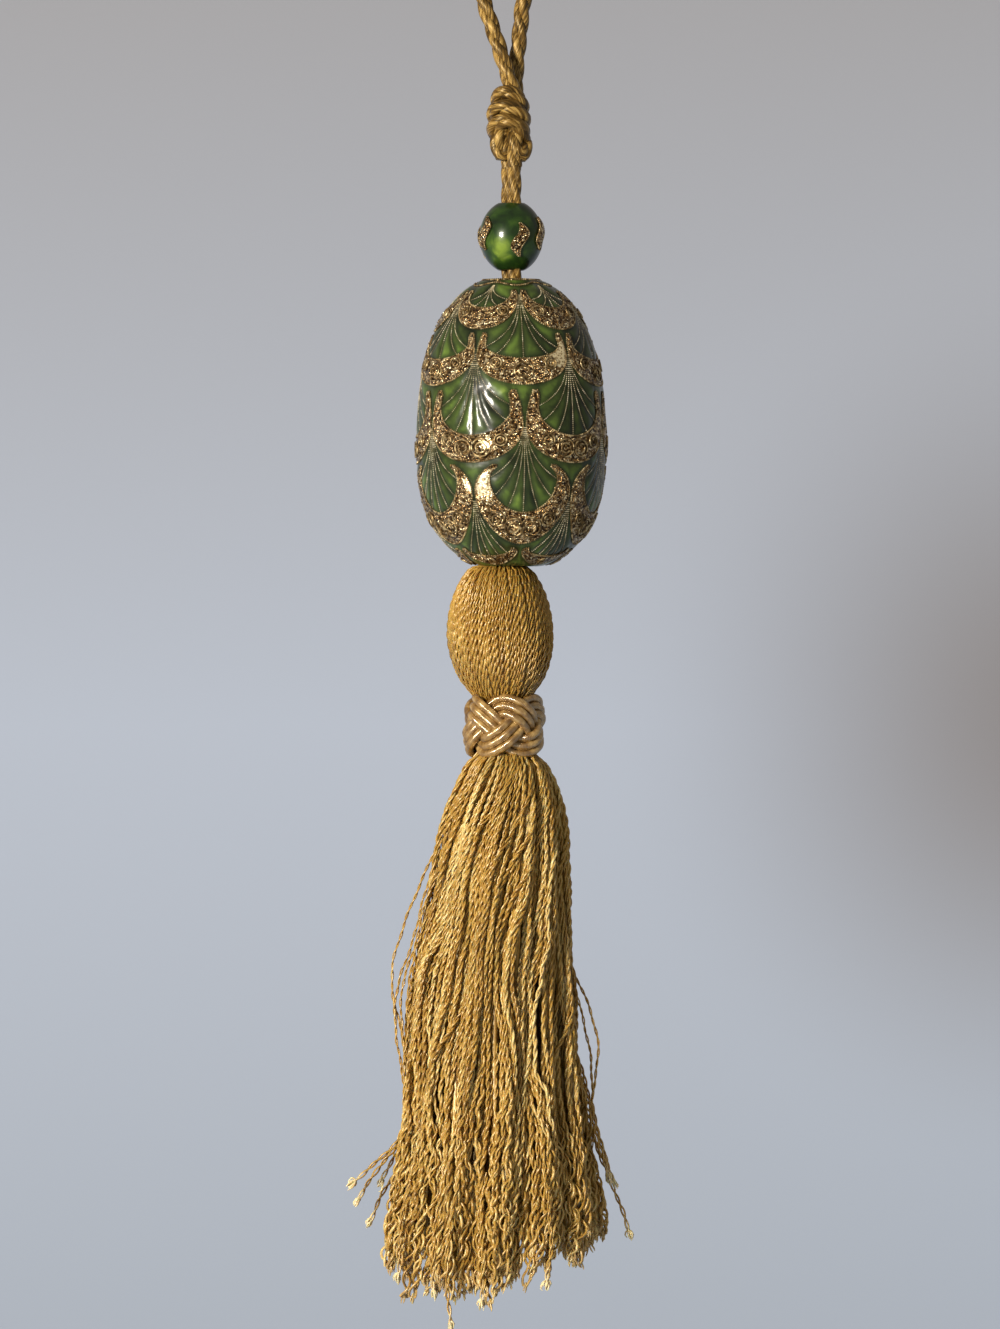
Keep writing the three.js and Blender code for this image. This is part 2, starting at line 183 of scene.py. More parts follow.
def makeStrandTree():
    # sweeps a round strand along each line; its UV runs along (m) and round (0 to 1)
    tree, given = newTree("roundStrand", Sides="Int", Radius="Float", Material="Material")
    line = addNode(tree, "GeometryNodeMeshToCurve", {"Mesh": given["Geometry"]})
    lines = addNode(tree, "GeometryNodeCaptureAttribute", {"Geometry": line})
    lines.capture_items.new("FLOAT", "along")
    tree.links.new(addNode(tree, "GeometryNodeSplineParameter").outputs["Length"], lines.inputs["along"])
    circle = addNode(tree, "GeometryNodeCurvePrimitiveCircle",
                     {"Resolution": given["Sides"], "Radius": given["Radius"]})
    section = addNode(tree, "GeometryNodeCaptureAttribute", {"Geometry": circle})
    section.capture_items.new("FLOAT", "round")
    tree.links.new(addNode(tree, "GeometryNodeSplineParameter").outputs["Factor"], section.inputs["round"])
    thickness = addNode(tree, "GeometryNodeInputNamedAttribute", {"Name": "thickness"}, data_type="FLOAT")
    swept = addNode(tree, "GeometryNodeCurveToMesh",
                    {"Curve": lines, "Profile Curve": section, "Scale": thickness, "Fill Caps": True})
    # the last face round the strand runs on to 1 and not back to 0
    middle = addNode(tree, "GeometryNodeFieldOnDomain", {0: section.outputs["round"]},
                     domain="FACE", data_type="FLOAT")
    late = addNode(tree, "ShaderNodeMath", {0: middle, 1: 0.25}, operation="GREATER_THAN")
    first = addNode(tree, "ShaderNodeMath", {0: section.outputs["round"], 1: 0.001}, operation="LESS_THAN")
    roundFixed = addNode(tree, "ShaderNodeMath", {0: late, 1: first, 2: section.outputs["round"]},
                         operation="MULTIPLY_ADD")
    uv = addNode(tree, "ShaderNodeCombineXYZ", {"X": lines.outputs["along"], "Y": roundFixed})
    mapped = addNode(tree, "GeometryNodeStoreNamedAttribute",
                     {"Geometry": swept, "Name": "UVMap", "Value": uv}, domain="CORNER", data_type="FLOAT2")
    soft = addNode(tree, "GeometryNodeSetShadeSmooth", {"Geometry": mapped})
    return endTree(tree, soft, given["Material"])


def makeBeadedWireTree():
    # small round beads one after another along each line
    tree, given = newTree("beadedWire", Pitch="Float", Bead_Radius="Float", Rings="Int", Material="Material")
    line = addNode(tree, "GeometryNodeMeshToCurve", {"Mesh": given["Geometry"]})
    even = addNode(tree, "GeometryNodeResampleCurve", {"Curve": line, "Length": given["Pitch"]},
                   mode="LENGTH")
    bead = addNode(tree, "GeometryNodeMeshUVSphere",
                   {"Radius": given["Bead Radius"], "Segments": 4, "Rings": given["Rings"]})
    soft = addNode(tree, "GeometryNodeSetShadeSmooth", {"Geometry": bead})
    beads = addNode(tree, "GeometryNodeInstanceOnPoints", {"Points": even, "Instance": soft})
    return endTree(tree, beads, given["Material"])


def makeGrainTree():
    # crushed grains scattered over a surface, each turned and sized by chance
    tree, given = newTree("crushedGrains", Density="Float", Grain_Radius="Float", Seed="Int",
                          Material="Material")
    spots = addNode(tree, "GeometryNodeDistributePointsOnFaces",
                    {"Mesh": given["Geometry"], "Density": given["Density"], "Seed": given["Seed"]})
    grain = addNode(tree, "GeometryNodeMeshIcoSphere", {"Radius": given["Grain Radius"], "Subdivisions": 1})
    turn = addNode(tree, "FunctionNodeRandomValue",
                   {0: (0, 0, 0), 1: (full, full, full), "Seed": given["Seed"]}, data_type="FLOAT_VECTOR")
    size = addNode(tree, "FunctionNodeRandomValue",
                   {0: (0.5, 0.5, 0.4), 1: (1.5, 1.3, 1.0), "Seed": given["Seed"]}, data_type="FLOAT_VECTOR")
    grains = addNode(tree, "GeometryNodeInstanceOnPoints",
                     {"Points": spots, "Instance": grain, "Rotation": turn, "Scale": size})
    return endTree(tree, grains, given["Material"])


def throughNodes(piece, tree, **values):
    # runs the tree on the piece and leaves the plain mesh that comes out
    modifier = piece.modifiers.new(tree.name, "NODES")
    modifier.node_group = tree
    names = {s.name: s.identifier for s in tree.interface.items_tree if s.in_out == "INPUT"}
    for name, value in values.items():
        modifier[names[name.replace("_", " ")]] = value
    seen = piece.evaluated_get(bpy.context.evaluated_depsgraph_get())
    mesh = bpy.data.meshes.new_from_object(seen)
    piece.modifiers.clear()
    piece.data = mesh
    mesh.name = piece.name
    return piece


roundStrand = makeStrandTree()
beadedWire = makeBeadedWireTree()
crushedGrains = makeGrainTree()


plyContrast = 0.12   # how much the plies of one strand differ in tone


def newBatch():
    # strands are gathered in a batch and swept together
    return {"routes": [], "thickness": [], "strandTone": [], "strandTip": []}


def addStrand(batch, route, tone=0.5, thickness=1.0, tip=0.0):
    batch["routes"].append(route)
    for name, value in (("thickness", thickness), ("strandTone", tone), ("strandTip", tip)):
        batch[name].append(np.broadcast_to(value, len(route)))


def addPlied(batch, route, plies, offset, turn, phase=0.0, tone=0.5, **values):
    # plies laid round a line, each a little lighter than the one before
    # offset and turn, in mm, may change along it; a turn above 0 is a Z twist
    run = np.gradient(route, axis=0)
    run /= np.linalg.norm(run, axis=1)[:, None]
    side = [np.cross(run[0], (0.3, 1.0, 0.1))]
    for ahead in run:
        square = side[-1] - ahead * (side[-1] @ ahead)
        side.append(square / math.sqrt(square @ square))
    side = np.array(side[1:])
    across = np.cross(run, side)
    step = np.linalg.norm(np.diff(route, axis=0), axis=1)
    angle = phase + np.concatenate([[0], np.cumsum(full * step / np.broadcast_to(turn, len(route))[1:])])
    offset = np.broadcast_to(offset, len(route))[:, None]
    for k in range(plies):
        a = (angle + full * k / plies)[:, None]
        ply = route + offset * (np.cos(a) * side + np.sin(a) * across)
        addStrand(batch, ply, tone + plyContrast * (k / plies - 0.4), **values)


def strandPiece(name, batch, sides, radius, material, closed=False):
    piece = lineObject(name, batch["routes"], closed)
    for attributeName in ("thickness", "strandTone", "strandTip"):
        storeAttribute(piece, attributeName, np.concatenate(batch[attributeName]))
    return throughNodes(piece, roundStrand, Sides=sides, Radius=radius * mm, Material=material)


def lineObject(name, routes, closed=False):
    edges = []
    start = 0
    for route in routes:
        count = len(route)
        edges += [(start + i, start + i + 1) for i in range(count - 1)]
        if closed:
            edges.append((start + count - 1, start))
        start += count
    return meshObject(name, np.vstack(routes), [], edges=edges)


def makeYarn(name, look):
    # spun rayon: long bright fibres, so each ply glows where it faces the light and keeps its warm colour
    material, tree = newMaterial(name)
    uv = addNode(tree, "ShaderNodeUVMap", uv_map="UVMap")
    split = addNode(tree, "ShaderNodeSeparateXYZ", {0: uv})
    along = split.outputs["X"]
    tone = addNode(tree, "ShaderNodeAttribute", attribute_name="strandTone").outputs["Fac"]
    tip = addNode(tree, "ShaderNodeAttribute", attribute_name="strandTip").outputs["Fac"]
    # fibres run round each ply at a slant
    slant = addNode(tree, "ShaderNodeMath",
                    {0: along, 1: 1 / (look["fibrePitch"] * mm), 2: split.outputs["Y"]},
                    operation="MULTIPLY_ADD")
    spot = addNode(tree, "ShaderNodeCombineXYZ", {"X": slant, "Y": along, "Z": tone})
    fibreSpot = addNode(tree, "ShaderNodeVectorMath",
                        {0: spot, 1: (look["fibresRound"], 1 / (look["fibreLength"] * mm), 50.0)},
                        operation="MULTIPLY")
    fibre = addNode(tree, "ShaderNodeTexNoise",
                    {"Vector": fibreSpot, "Scale": 1.0, "Detail": 2.0, "Roughness": 0.6})
    slowSpot = addNode(tree, "ShaderNodeVectorMath",
                       {0: spot, 1: (0.0, 1 / (look["patchLength"] * mm), 80.0)}, operation="MULTIPLY")
    slow = addNode(tree, "ShaderNodeTexNoise", {"Vector": slowSpot, "Scale": 1.0, "Detail": 1.0})
    # the three shares move the tone about the middle of the colours
    mixed = 0.5 - (look["toneShare"] + look["patchShare"] + look["fibreShare"]) / 2
    for part, share in ((slow, "patchShare"), (tone, "toneShare"), (fibre, "fibreShare")):
        mixed = addNode(tree, "ShaderNodeMath", {0: part, 1: look[share], 2: mixed},
                        operation="MULTIPLY_ADD")
    colour = addNode(tree, "ShaderNodeValToRGB", {"Fac": mixed}, look["colours"])
    paler = addNode(tree, "ShaderNodeMath", {0: tip, 1: 0.75}, operation="MULTIPLY")
    pale = addNode(tree, "ShaderNodeMix", {0: paler, 6: colour, 7: linear(look["frayed"])}, data_type="RGBA")
    bump = addNode(tree, "ShaderNodeBump", {"Height": fibre, "Strength": look["bump"], "Distance": 0.0002})
    # the fibres lie along the ply, so the shine spreads across it
    lay = addNode(tree, "ShaderNodeTangent", direction_type="UV_MAP", uv_map="UVMap")
    shader = addNode(tree, "ShaderNodeBsdfPrincipled", {
        "Base Color": pale.outputs[2],
        "Subsurface Weight": look["glow"],  # light gets into the fibres and lifts the gaps
        "Subsurface Radius": (1.0, 0.62, 0.25),
        "Subsurface Scale": 0.0006,
        "Roughness": look["roughness"],
        "IOR": 1.5,
        "Specular IOR Level": look["specular"],
        "Specular Tint": linear(look["shine"]),
        "Anisotropic": look["anisotropic"],
        "Anisotropic Rotation": 0.25,
        "Tangent": lay,
        "Sheen Weight": look["sheen"],
        "Sheen Roughness": 0.4,
        "Sheen Tint": linear(look["shine"]),
        "Normal": bump,
    })
    addNode(tree, "ShaderNodeOutputMaterial", {"Surface": shader})
    return material


cordLook = {
    "colours": [(0.3, "#2d1e08"), (0.5, "#60461c"), (0.7, "#a38448")],
    "frayed": "#b89a63",
    "shine": "#ffe2a6",
    "toneShare": 0.2, "patchShare": 0.2, "fibreShare": 1.3,
    "fibrePitch": -9.0, "fibresRound": 13.0, "fibreLength": 4.5, "patchLength": 9.0,
    "bump": 0.9, "roughness": 0.36, "specular": 0.6, "anisotropic": 0.6, "sheen": 0.03, "glow": 0.15,
}
yarnLook = {
    "colours": [(0.3, "#67420f"), (0.5, "#aa863d"), (0.7, "#eed99b")],
    "frayed": "#e8d8b0",
    "shine": "#fff0cc",
    "toneShare": 0.16, "patchShare": 0.28, "fibreShare": 0.26,
    "fibrePitch": 6.0, "fibresRound": 3.0, "fibreLength": 4.0, "patchLength": 11.0,
    "bump": 0.16, "roughness": 0.37, "specular": 1.0, "anisotropic": 0.7, "sheen": 0.0, "glow": 0.4,
}

twistedRayonCord = makeYarn("twistedRayonCord", cordLook)
rayonYarn = makeYarn("rayonYarn", yarnLook)


cord = {
    "diameter": 3.6, "tailDiameter": 3.2,
    "plies": 3, "sides": 10, "turn": -15.5,
    "plyRadius": 1.06,
    "loopPlies": (0.78, 1.0), "tailPlies": (0.62, 0.92), "knotPlies": (0.64, 1.05),  # offset in mm, thickness
    "step": 0.55,
    "intoKnot": 2.6,  # how far the legs run on inside the knot
    "loopRoute": [
        (0.0, -1.95, -59.0), (-1.8, -1.7, -53.3), (-3.6, -1.3, -47.8), (-6.1, -0.6, -40.0),
        (-8.0, -0.2, -31.0), (-8.9, 0.0, -21.0), (-8.2, 0.0, -10.5), (-4.9, 0.0, -1.8),
        (0.0, 0.0, 1.6), (4.7, 0.0, -1.8), (7.6, 0.0, -10.5), (7.2, 0.1, -21.0),
        (4.9, 0.4, -31.0), (2.7, 0.9, -40.0), (1.8, 1.5, -47.8), (1.2, 1.8, -53.3), (0.9, 1.95, -59.0),
    ],
    "tailTop": -76.7, "tailBottom": -164.8, "tailInKnot": 2.0,
    "tails": {"cord_tail_left": (-0.7, 1.65), "cord_tail_right": (0.7, -1.65)},
}


def cordPiece(name, routes, offset, thickness):
    batch = newBatch()
    for route in routes:
        addPlied(batch, route, cord["plies"], offset, cord["turn"], thickness=thickness)
    return strandPiece(name, batch, cord["sides"], cord["plyRadius"], twistedRayonCord)


def makeHangingLoop():
    route = [Vector(p) for p in cord["loopRoute"]]
    for end, inner in ((0, 1), (-1, -2)):
        route[end] = route[end] + (route[end] - route[inner]).normalized() * cord["intoKnot"]
    loop = cordPiece("cordLoop", [splineThrough(route, 250)], *cord["loopPlies"])
    keep(loop, "twisted_cord", "hanging_loop")


def makeTails():
    for node, (x, y) in cord["tails"].items():
        top, bottom = cord["tailTop"], cord["tailBottom"]
        line = np.array([(x, y, z) for z in np.linspace(top + cord["tailInKnot"], bottom, 150)])
        tail = cordPiece(node.replace("cord_tail", "tail"), [line], *cord["tailPlies"])
        keep(tail, "twisted_cord", node)


knot = {
    "turns": 2.67,
    "turnStart": 120.0,   # degrees from the front towards the right
    "lowest": -70.1,
    "highest": -61.6,
    "radiusX": 3.35,
    "radiusY": 3.4,
    "narrowing": 0.34,    # the top turn is smaller
    "centreX": -0.6,
    "arch": 2.4,          # each turn rises at the front
    "earStrand": [(-0.2, -1.7, -60.0), (0.4, -0.8, -64.0), (0.7, -1.0, -69.5), (1.2, -1.4, -73.2),
                  (2.3, -1.2, -74.0), (2.9, -0.2, -72.6), (2.9, 1.2, -71.2)],
    "endStrand": [(0.2, 1.6, -62.6), (0.2, 0.4, -66.0), (0.4, -1.2, -71.0), (0.7, -1.65, -76.6)],
    "innerStrand": [(0.9, 1.7, -60.0), (-0.2, 1.2, -65.0), (-1.0, 0.4, -69.5), (-1.5, -0.8, -73.2),
                    (-2.3, -1.1, -74.1), (-3.0, -0.9, -72.4), (-2.9, -1.3, -70.2), (-1.8, -0.6, -68.4),
                    (-0.8, 0.9, -70.5), (-0.7, 1.6, -76.6)],
}


def makeKnot():
    turns = []
    steps = int(knot["turns"] * 16)
    for i in range(steps + 1):
        t = i / steps
        angle = math.radians(knot["turnStart"] - 360 * knot["turns"] * t)
        height = knot["lowest"] + (knot["highest"] - knot["lowest"]) * t
        size = 1 - knot["narrowing"] * t ** 4
        turns.append((knot["centreX"] + knot["radiusX"] * size * math.sin(angle),
                      -knot["radiusY"] * size * math.cos(angle),
                      height + knot["arch"] * math.cos(angle)))
    routes = []
    for points in (knot["earStrand"] + turns + knot["endStrand"], knot["innerStrand"]):
        rough = splineThrough(points, 400)
        routes.append(resample(rough, int(routeLength(rough) / cord["step"])))
    keep(cordPiece("cordKnot", routes, *cord["knotPlies"]), "twisted_cord", "cord_knot")


makeHangingLoop()
makeTails()
makeKnot()
print("hanging cord, knot and tails made")


def makeGilt(name, look):
    # brass leaf and wire, gilded: warm gold that flashes, its colour darker brown where the crumpled surface
    # dips
    material, tree = newMaterial(name)
    place = addNode(tree, "ShaderNodeTexCoord").outputs["Object"]
    facets = addNode(tree, "ShaderNodeTexVoronoi", {"Vector": place, "Scale": 1000 / look["facet"]})
    facetTone = addNode(tree, "ShaderNodeSeparateXYZ", {0: facets.outputs["Color"]})
    crumple = addNode(tree, "ShaderNodeTexNoise",
                      {"Vector": place, "Scale": 1000 / look["crumple"], "Detail": 4.0, "Roughness": 0.65})
    # bare foil is smooth, and its colour is painted brighter: a painted highlight of the window
    bareShine = addNode(tree, "ShaderNodeAttribute", attribute_name="bareFoilShine").outputs["Fac"]
    mixed = 0.0
    for part, share in ((crumple, 1 - look["facetShare"]), (facetTone, look["facetShare"]), (bareShine, 0.32)):
        mixed = addNode(tree, "ShaderNodeMath", {0: part, 1: share, 2: mixed}, operation="MULTIPLY_ADD")
    colour = addNode(tree, "ShaderNodeValToRGB", {"Fac": mixed}, look["colours"])
    height = addNode(tree, "ShaderNodeMath", {0: facets, 1: crumple}, operation="ADD")
    crushed = addNode(tree, "ShaderNodeMath", {0: bareShine, 1: -0.8 * look["bump"], 2: look["bump"]},
                      operation="MULTIPLY_ADD")
    bump = addNode(tree, "ShaderNodeBump", {"Height": height, "Strength": crushed, "Distance": 0.0003})
    rough = addNode(tree, "ShaderNodeMath", {0: crumple, 1: 0.25, 2: look["roughness"] - 0.12},
                    operation="MULTIPLY_ADD")
    shader = addNode(tree, "ShaderNodeBsdfPrincipled",
                     {"Base Color": colour, "Metallic": look["metallic"], "Roughness": rough, "Normal": bump})
    addNode(tree, "ShaderNodeOutputMaterial", {"Surface": shader})
    return material


foilLook = {
    "facet": 0.34, "crumple": 0.9, "facetShare": 0.5, "bump": 1.0, "roughness": 0.24, "metallic": 0.85,
    "colours": [(0.28, "#1e1207"), (0.45, "#5f4523"), (0.6, "#a08050"), (0.78, "#ffedc0")],
}
rimLook = {
    "facet": 0.8, "crumple": 1.6, "facetShare": 0.4, "bump": 0.2, "roughness": 0.34, "metallic": 0.6,
    "colours": [(0.3, "#3f3018"), (0.5, "#80683f"), (0.7, "#c9b588")],
}
veinLook = {
    "facet": 0.8, "crumple": 1.6, "facetShare": 0.4, "bump": 0.2, "roughness": 0.34, "metallic": 0.4,
    "colours": [(0.3, "#6c5f42"), (0.5, "#b3a37c"), (0.7, "#ebe0c0")],
}
crushedGiltFoil = makeGilt("crushedGiltFoil", foilLook)
rimWire = makeGilt("rimWire", rimLook)
veinWire = makeGilt("veinWire", veinLook)


egg = {
    "top": -100.9, "widest": -136.8, "bottom": -164.7, "radius": 20.4, "bore": 3.75,
    "powerAbove": 2.3, "powerBelow": 2.5,
    "patternTurn": 8.0, "handSpread": 5.0, "scalesPerRow": 6,
    "around": 300, "down": 112,         # grid of the enamel
    "ground": 0.22, "pillow": 0.3, "pillowReach": 0.75,  # the enamel stands proud between its wires
    "foilLift": 0.1, "foilTop": 0.69, "foilCrown": 0.22, "foilCrumple": 0.04,
    "wireLift": 0.5, "wirePitch": 0.5, "wireRadius": 0.23,
    "veinLift": 0.36, "veinPitch": 0.44, "veinRadius": 0.165,
    "veinRoot": 0.05, "veinBend": (0.12, 0.68),   # shares of the way from where a vein starts to its end
    "grainRadius": 0.23, "grainsPerArea": 0.42e6,
    "coilRadius": 0.18, "coilLift": 0.08, "coilShare": 0.36, "coilReach": 1.15,
    "ringInner": -101.9, "ringOuter": -102.6, "ringScallop": 0.7, "ringTop": 0.35,
    # where the foil is plain and smooth and carries a painted highlight of the window: azimuth, height, reach
    # in mm
    "bareFoilShine": [(-20, -146.5, 4.0), (-14, -138.0, 1.6), (34, -118.5, 3.2)],
}
# heights in mm; the halves are angles about the egg, in degrees; fan is the height its veins spring from
crescentRows = [
    {"tip": -104.6, "widest": -105.4, "innerWidest": -105.0, "inner": -108.4, "bottom": -113.0,
     "half": 28.0, "tipHalf": 27.0, "innerHalf": 22.0, "turned": True,
     "fan": -103.4, "veins": (-62, -28, 0, 30, 64), "coils": 2},
    {"tip": -114.0, "widest": -118.4, "innerWidest": -116.4, "inner": -119.5, "bottom": -125.1,
     "half": 29.0, "tipHalf": 26.5, "innerHalf": 23.5, "turned": False,
     "fan": -105.6, "veins": (-84, -46, 0, 44, 80), "coils": 3},
    {"tip": -126.4, "widest": -134.2, "innerWidest": -130.4, "inner": -136.2, "bottom": -142.0,
     "half": 29.0, "tipHalf": 25.0, "innerHalf": 21.5, "turned": True,
     "fan": -118.6, "veins": (-96, -64, -30, 0, 32, 66, 98), "coils": 4},
    {"tip": -142.6, "widest": -148.4, "innerWidest": -145.8, "inner": -152.9, "bottom": -159.4,
     "half": 29.0, "tipHalf": 18.0, "innerHalf": 19.5, "turned": False,
     "fan": -134.6, "veins": (-98, -62, -30, 0, 28, 60, 94), "coils": 4},
    {"tip": -160.4, "widest": -161.0, "innerWidest": -160.7, "inner": -162.0, "bottom": -163.7,
     "half": 27.5, "tipHalf": 24.5, "innerHalf": 22.0, "turned": True,
     "fan": -150.5, "veins": (-60, -24, 0, 26, 58), "coils": 1},
]


def eggAt(z):
    z = np.asarray(z, float)
    above = z > egg["widest"]
    power = np.where(above, egg["powerAbove"], egg["powerBelow"])
    half = np.where(above, egg["top"] - egg["widest"], egg["widest"] - egg["bottom"])
    reach = np.minimum(np.abs(z - egg["widest"]) / half, 1)
    return egg["radius"] * np.maximum(1 - reach ** power, 0) ** (1 / power)


def eggHeight(radius, above):
    power = egg["powerAbove"] if above else egg["powerBelow"]
    end = egg["top"] if above else egg["bottom"]
    return egg["widest"] + (end - egg["widest"]) * (1 - (radius / egg["radius"]) ** power) ** (1 / power)


def onEgg(azimuth, z, lift):
    # points on the egg, the azimuth in degrees from the front towards the right
    azimuth, z, lift = np.broadcast_arrays(np.radians(azimuth), np.asarray(z, float), np.asarray(lift, float))
    slope = (eggAt(z + 0.05) - eggAt(z - 0.05)) / 0.1
    length = np.hypot(1, slope)
    out = eggAt(z) + lift / length
    return np.stack([out * np.sin(azimuth), -out * np.cos(azimuth), z - lift * slope / length], axis=-1)


def handLaid(angle):
    # the scales aren't quite evenly spread
    return egg["patternTurn"] + angle + egg["handSpread"] * np.sin(np.radians(angle))


def crescentEdges(row, stations):
    # outer and inner edge from horn to horn, in (degrees, height), and the angle of each station
    horn = math.pi - math.asin(row["tipHalf"] / row["half"])
    angle = np.linspace(-horn, horn, stations)

    def arc(half, widest, lowest):
        rise = (row["tip"] - widest) / -math.cos(horn)
        height = np.where(np.abs(angle) > math.pi / 2, rise, widest - lowest)
        return np.stack([half * np.sin(angle), widest - height * np.cos(angle)], axis=1)

    outer = arc(row["half"], row["widest"], row["bottom"])
    inside = arc(row["innerHalf"], row["innerWidest"], row["inner"])
    # the horns narrow, and their last bit closes to a point
    t = (np.abs(angle) / horn)[:, None]
    return outer, inside + (outer - inside) * (0.25 * t ** 4 + 0.35 * t ** 40), angle


def scaleCentres(row):
    pitch = 360 / egg["scalesPerRow"]
    return [pitch * (i + (0.5 if row["turned"] else 0)) for i in range(egg["scalesPerRow"])]


def veinsOf(row):
    # palmette veins in (degrees, height): they run down together and part to the sides one after another
    inner, angle = crescentEdges(row, 121)[1:]
    top = np.array([0.0, row["fan"]])
    veins = []
    for end in row["veins"]:
        finish = np.array([np.interp(math.radians(end), angle, inner[:, k]) for k in (0, 1)])
        aside, fall = egg["veinBend"]
        bend = np.array([finish[0] * aside, top[1] + (finish[1] - top[1]) * fall])
        t = np.linspace(0, 1, 24)[:, None]
        start = top + np.array([finish[0] * egg["veinRoot"], 0])
        veins.append((1 - t) ** 2 * start + 2 * t * (1 - t) * bend + t ** 2 * finish)
    return veins


def eggWires():
    # rims of the crescents, then the veins, then points along the middle of each cell of enamel
    rims, veins, seeds = [], [], []
    for row in crescentRows:
        outer, inner = crescentEdges(row, 45)[:2]
        rim = np.vstack([outer, inner[::-1]])
        rowVeins = veinsOf(row)
        for centre in scaleCentres(row):
            rims.append(onEgg(handLaid(centre + rim[:, 0]), rim[:, 1], egg["wireLift"]))
            for vein in rowVeins:
                veins.append(onEgg(handLaid(centre + vein[:, 0]), vein[:, 1], egg["veinLift"]))
            for left, right in zip(rowVeins[:-1], rowVeins[1:]):
                middle = (left + right)[10::3] / 2
                seeds.append(onEgg(handLaid(centre + middle[:, 0]), middle[:, 1], 0))
            for side, vein in ((-1, rowVeins[0]), (1, rowVeins[-1])):
                beside = vein[8::3] + np.array([side * 4.0, 0.8])
                seeds.append(onEgg(handLaid(centre + beside[:, 0]), beside[:, 1], 0))
    return rims, veins, seeds


def topRing(lift, stations=144):
    angle = np.linspace(0, 360, stations, endpoint=False)
    scallop = 0.5 + 0.5 * np.cos(np.radians(angle * egg["scalesPerRow"]))
    lowest = egg["ringOuter"] - egg["ringScallop"] * scallop
    return [onEgg(handLaid(angle), z, lift) for z in (egg["ringInner"], lowest)]


def nearest(points, places):
    # for each place, how far the nearest point is and which one it is
    tree = KDTree(len(points))
    for i, point in enumerate(points):
        tree.insert(point, i)
    tree.balance()
    found = [tree.find(p) for p in places]
    return np.array([f[2] for f in found]), np.array([f[1] for f in found])


def makeEnamelEgg(material, rims, veins, seeds):
    turn = np.linspace(0, 360, egg["around"], endpoint=False)
    top, bottom = eggHeight(egg["bore"] + 0.25, True), eggHeight(egg["bore"] + 0.25, False)
    even = np.linspace(0, 1, egg["down"])
    # rows lie closer together towards both ends
    heights = top + (bottom - top) * (0.55 * (1 - np.cos(even * math.pi)) / 2 + 0.45 * even)
    azimuth, z = [grid.ravel() for grid in np.meshgrid(turn, heights)]
    flat = onEgg(azimuth, z, 0)
    fromWire = nearest(np.vstack(rims + veins + topRing(0)), flat)[0]
    owner = nearest(np.vstack(seeds), flat)[1]
    cell = np.concatenate([np.full(len(s), i) for i, s in enumerate(seeds)])[owner]
    tones = np.random.default_rng(4).random(len(seeds))
    rise = egg["ground"] + egg["pillow"] * (1 - np.exp(-(fromWire / egg["pillowReach"]) ** 2))
    rise *= smoothStep(egg["bore"], egg["bore"] + 3.0, eggAt(z))  # down to nothing at the holes
    rings = [onEgg(azimuth, z, rise)]
    a = np.radians(turn)
    bore = egg["bore"]
    for height in (eggHeight(bore, False), eggHeight(bore, True)):
        rings.append(np.stack([bore * np.sin(a), -bore * np.cos(a), np.full(len(a), height)], axis=1))
    vertices = np.vstack(rings)
    faces = flipped(ringFaces(egg["down"] + 2, egg["around"], closed=True))
    piece = meshObject("eggEnamel", vertices, faces, material)
    extra = np.zeros(len(vertices) - len(flat))
    storeAttribute(piece, "fromWire", np.concatenate([fromWire, extra]))
    storeAttribute(piece, "cellTone", np.concatenate([tones[cell], extra]))
    return keep(piece, "green_enamel", "egg_bead")


def makeEnamel(name, look):
    # vitreous enamel over foil: glassy green, its colour painted lighter in the middle of each cell as a
    # painted glow and darker against the wire as painted shade
    material, tree = newMaterial(name)
    place = addNode(tree, "ShaderNodeTexCoord").outputs["Object"]
    cloud = addNode(tree, "ShaderNodeTexNoise",
                    {"Vector": place, "Scale": 1000 / look["cloud"], "Detail": 3.0, "Distortion": 0.6})
    if look["cells"]:
        tone = addNode(tree, "ShaderNodeAttribute", attribute_name="cellTone").outputs["Fac"]
        away = addNode(tree, "ShaderNodeAttribute", attribute_name="fromWire").outputs["Fac"]
        # painted shade and glow: the colour runs from dark against the wire to light in the middle of the
        # cell
        depth = addNode(tree, "ShaderNodeMapRange", {"Value": away, "From Max": 1.5, "To Max": 0.3},
                        interpolation_type="SMOOTHSTEP")
        paintedLightAndShade = addNode(tree, "ShaderNodeMath", {0: tone, 1: 0.24, 2: depth}, operation="MULTIPLY_ADD")
    else:
        # painted glow: the colour is lighter a little low and to the left, where light would gather inside
        # the glass
        glow = addNode(tree, "ShaderNodeVectorMath", {0: place, 1: look["paintedGlowAt"]}, operation="DISTANCE")
        paintedLightAndShade = addNode(tree, "ShaderNodeMapRange",
                        {"Value": glow.outputs["Value"], "From Max": look["paintedGlowReach"] * mm,
                         "To Min": 0.5, "To Max": 0.1}, interpolation_type="SMOOTHSTEP")
    mixed = addNode(tree, "ShaderNodeMath", {0: cloud, 1: look["cloudShare"], 2: paintedLightAndShade},
                    operation="MULTIPLY_ADD")
    colour = addNode(tree, "ShaderNodeValToRGB", {"Fac": mixed}, look["colours"])
    waves = addNode(tree, "ShaderNodeTexNoise",
                    {"Vector": place, "Scale": 1000 / look["ripple"], "Detail": 1.0})
    bump = addNode(tree, "ShaderNodeBump", {"Height": waves, "Strength": look["uneven"], "Distance": 0.0004})
    shader = addNode(tree, "ShaderNodeBsdfPrincipled", {
        "Base Color": colour,
        "Roughness": 0.3,
        "IOR": 1.5,
        "Specular IOR Level": 0.15,
        "Coat Weight": look["coat"],
        "Coat Roughness": 0.05,
        "Coat IOR": 1.5,
        "Coat Normal": bump,
        "Normal": bump,
    })
    addNode(tree, "ShaderNodeOutputMaterial", {"Surface": shader})
    return material


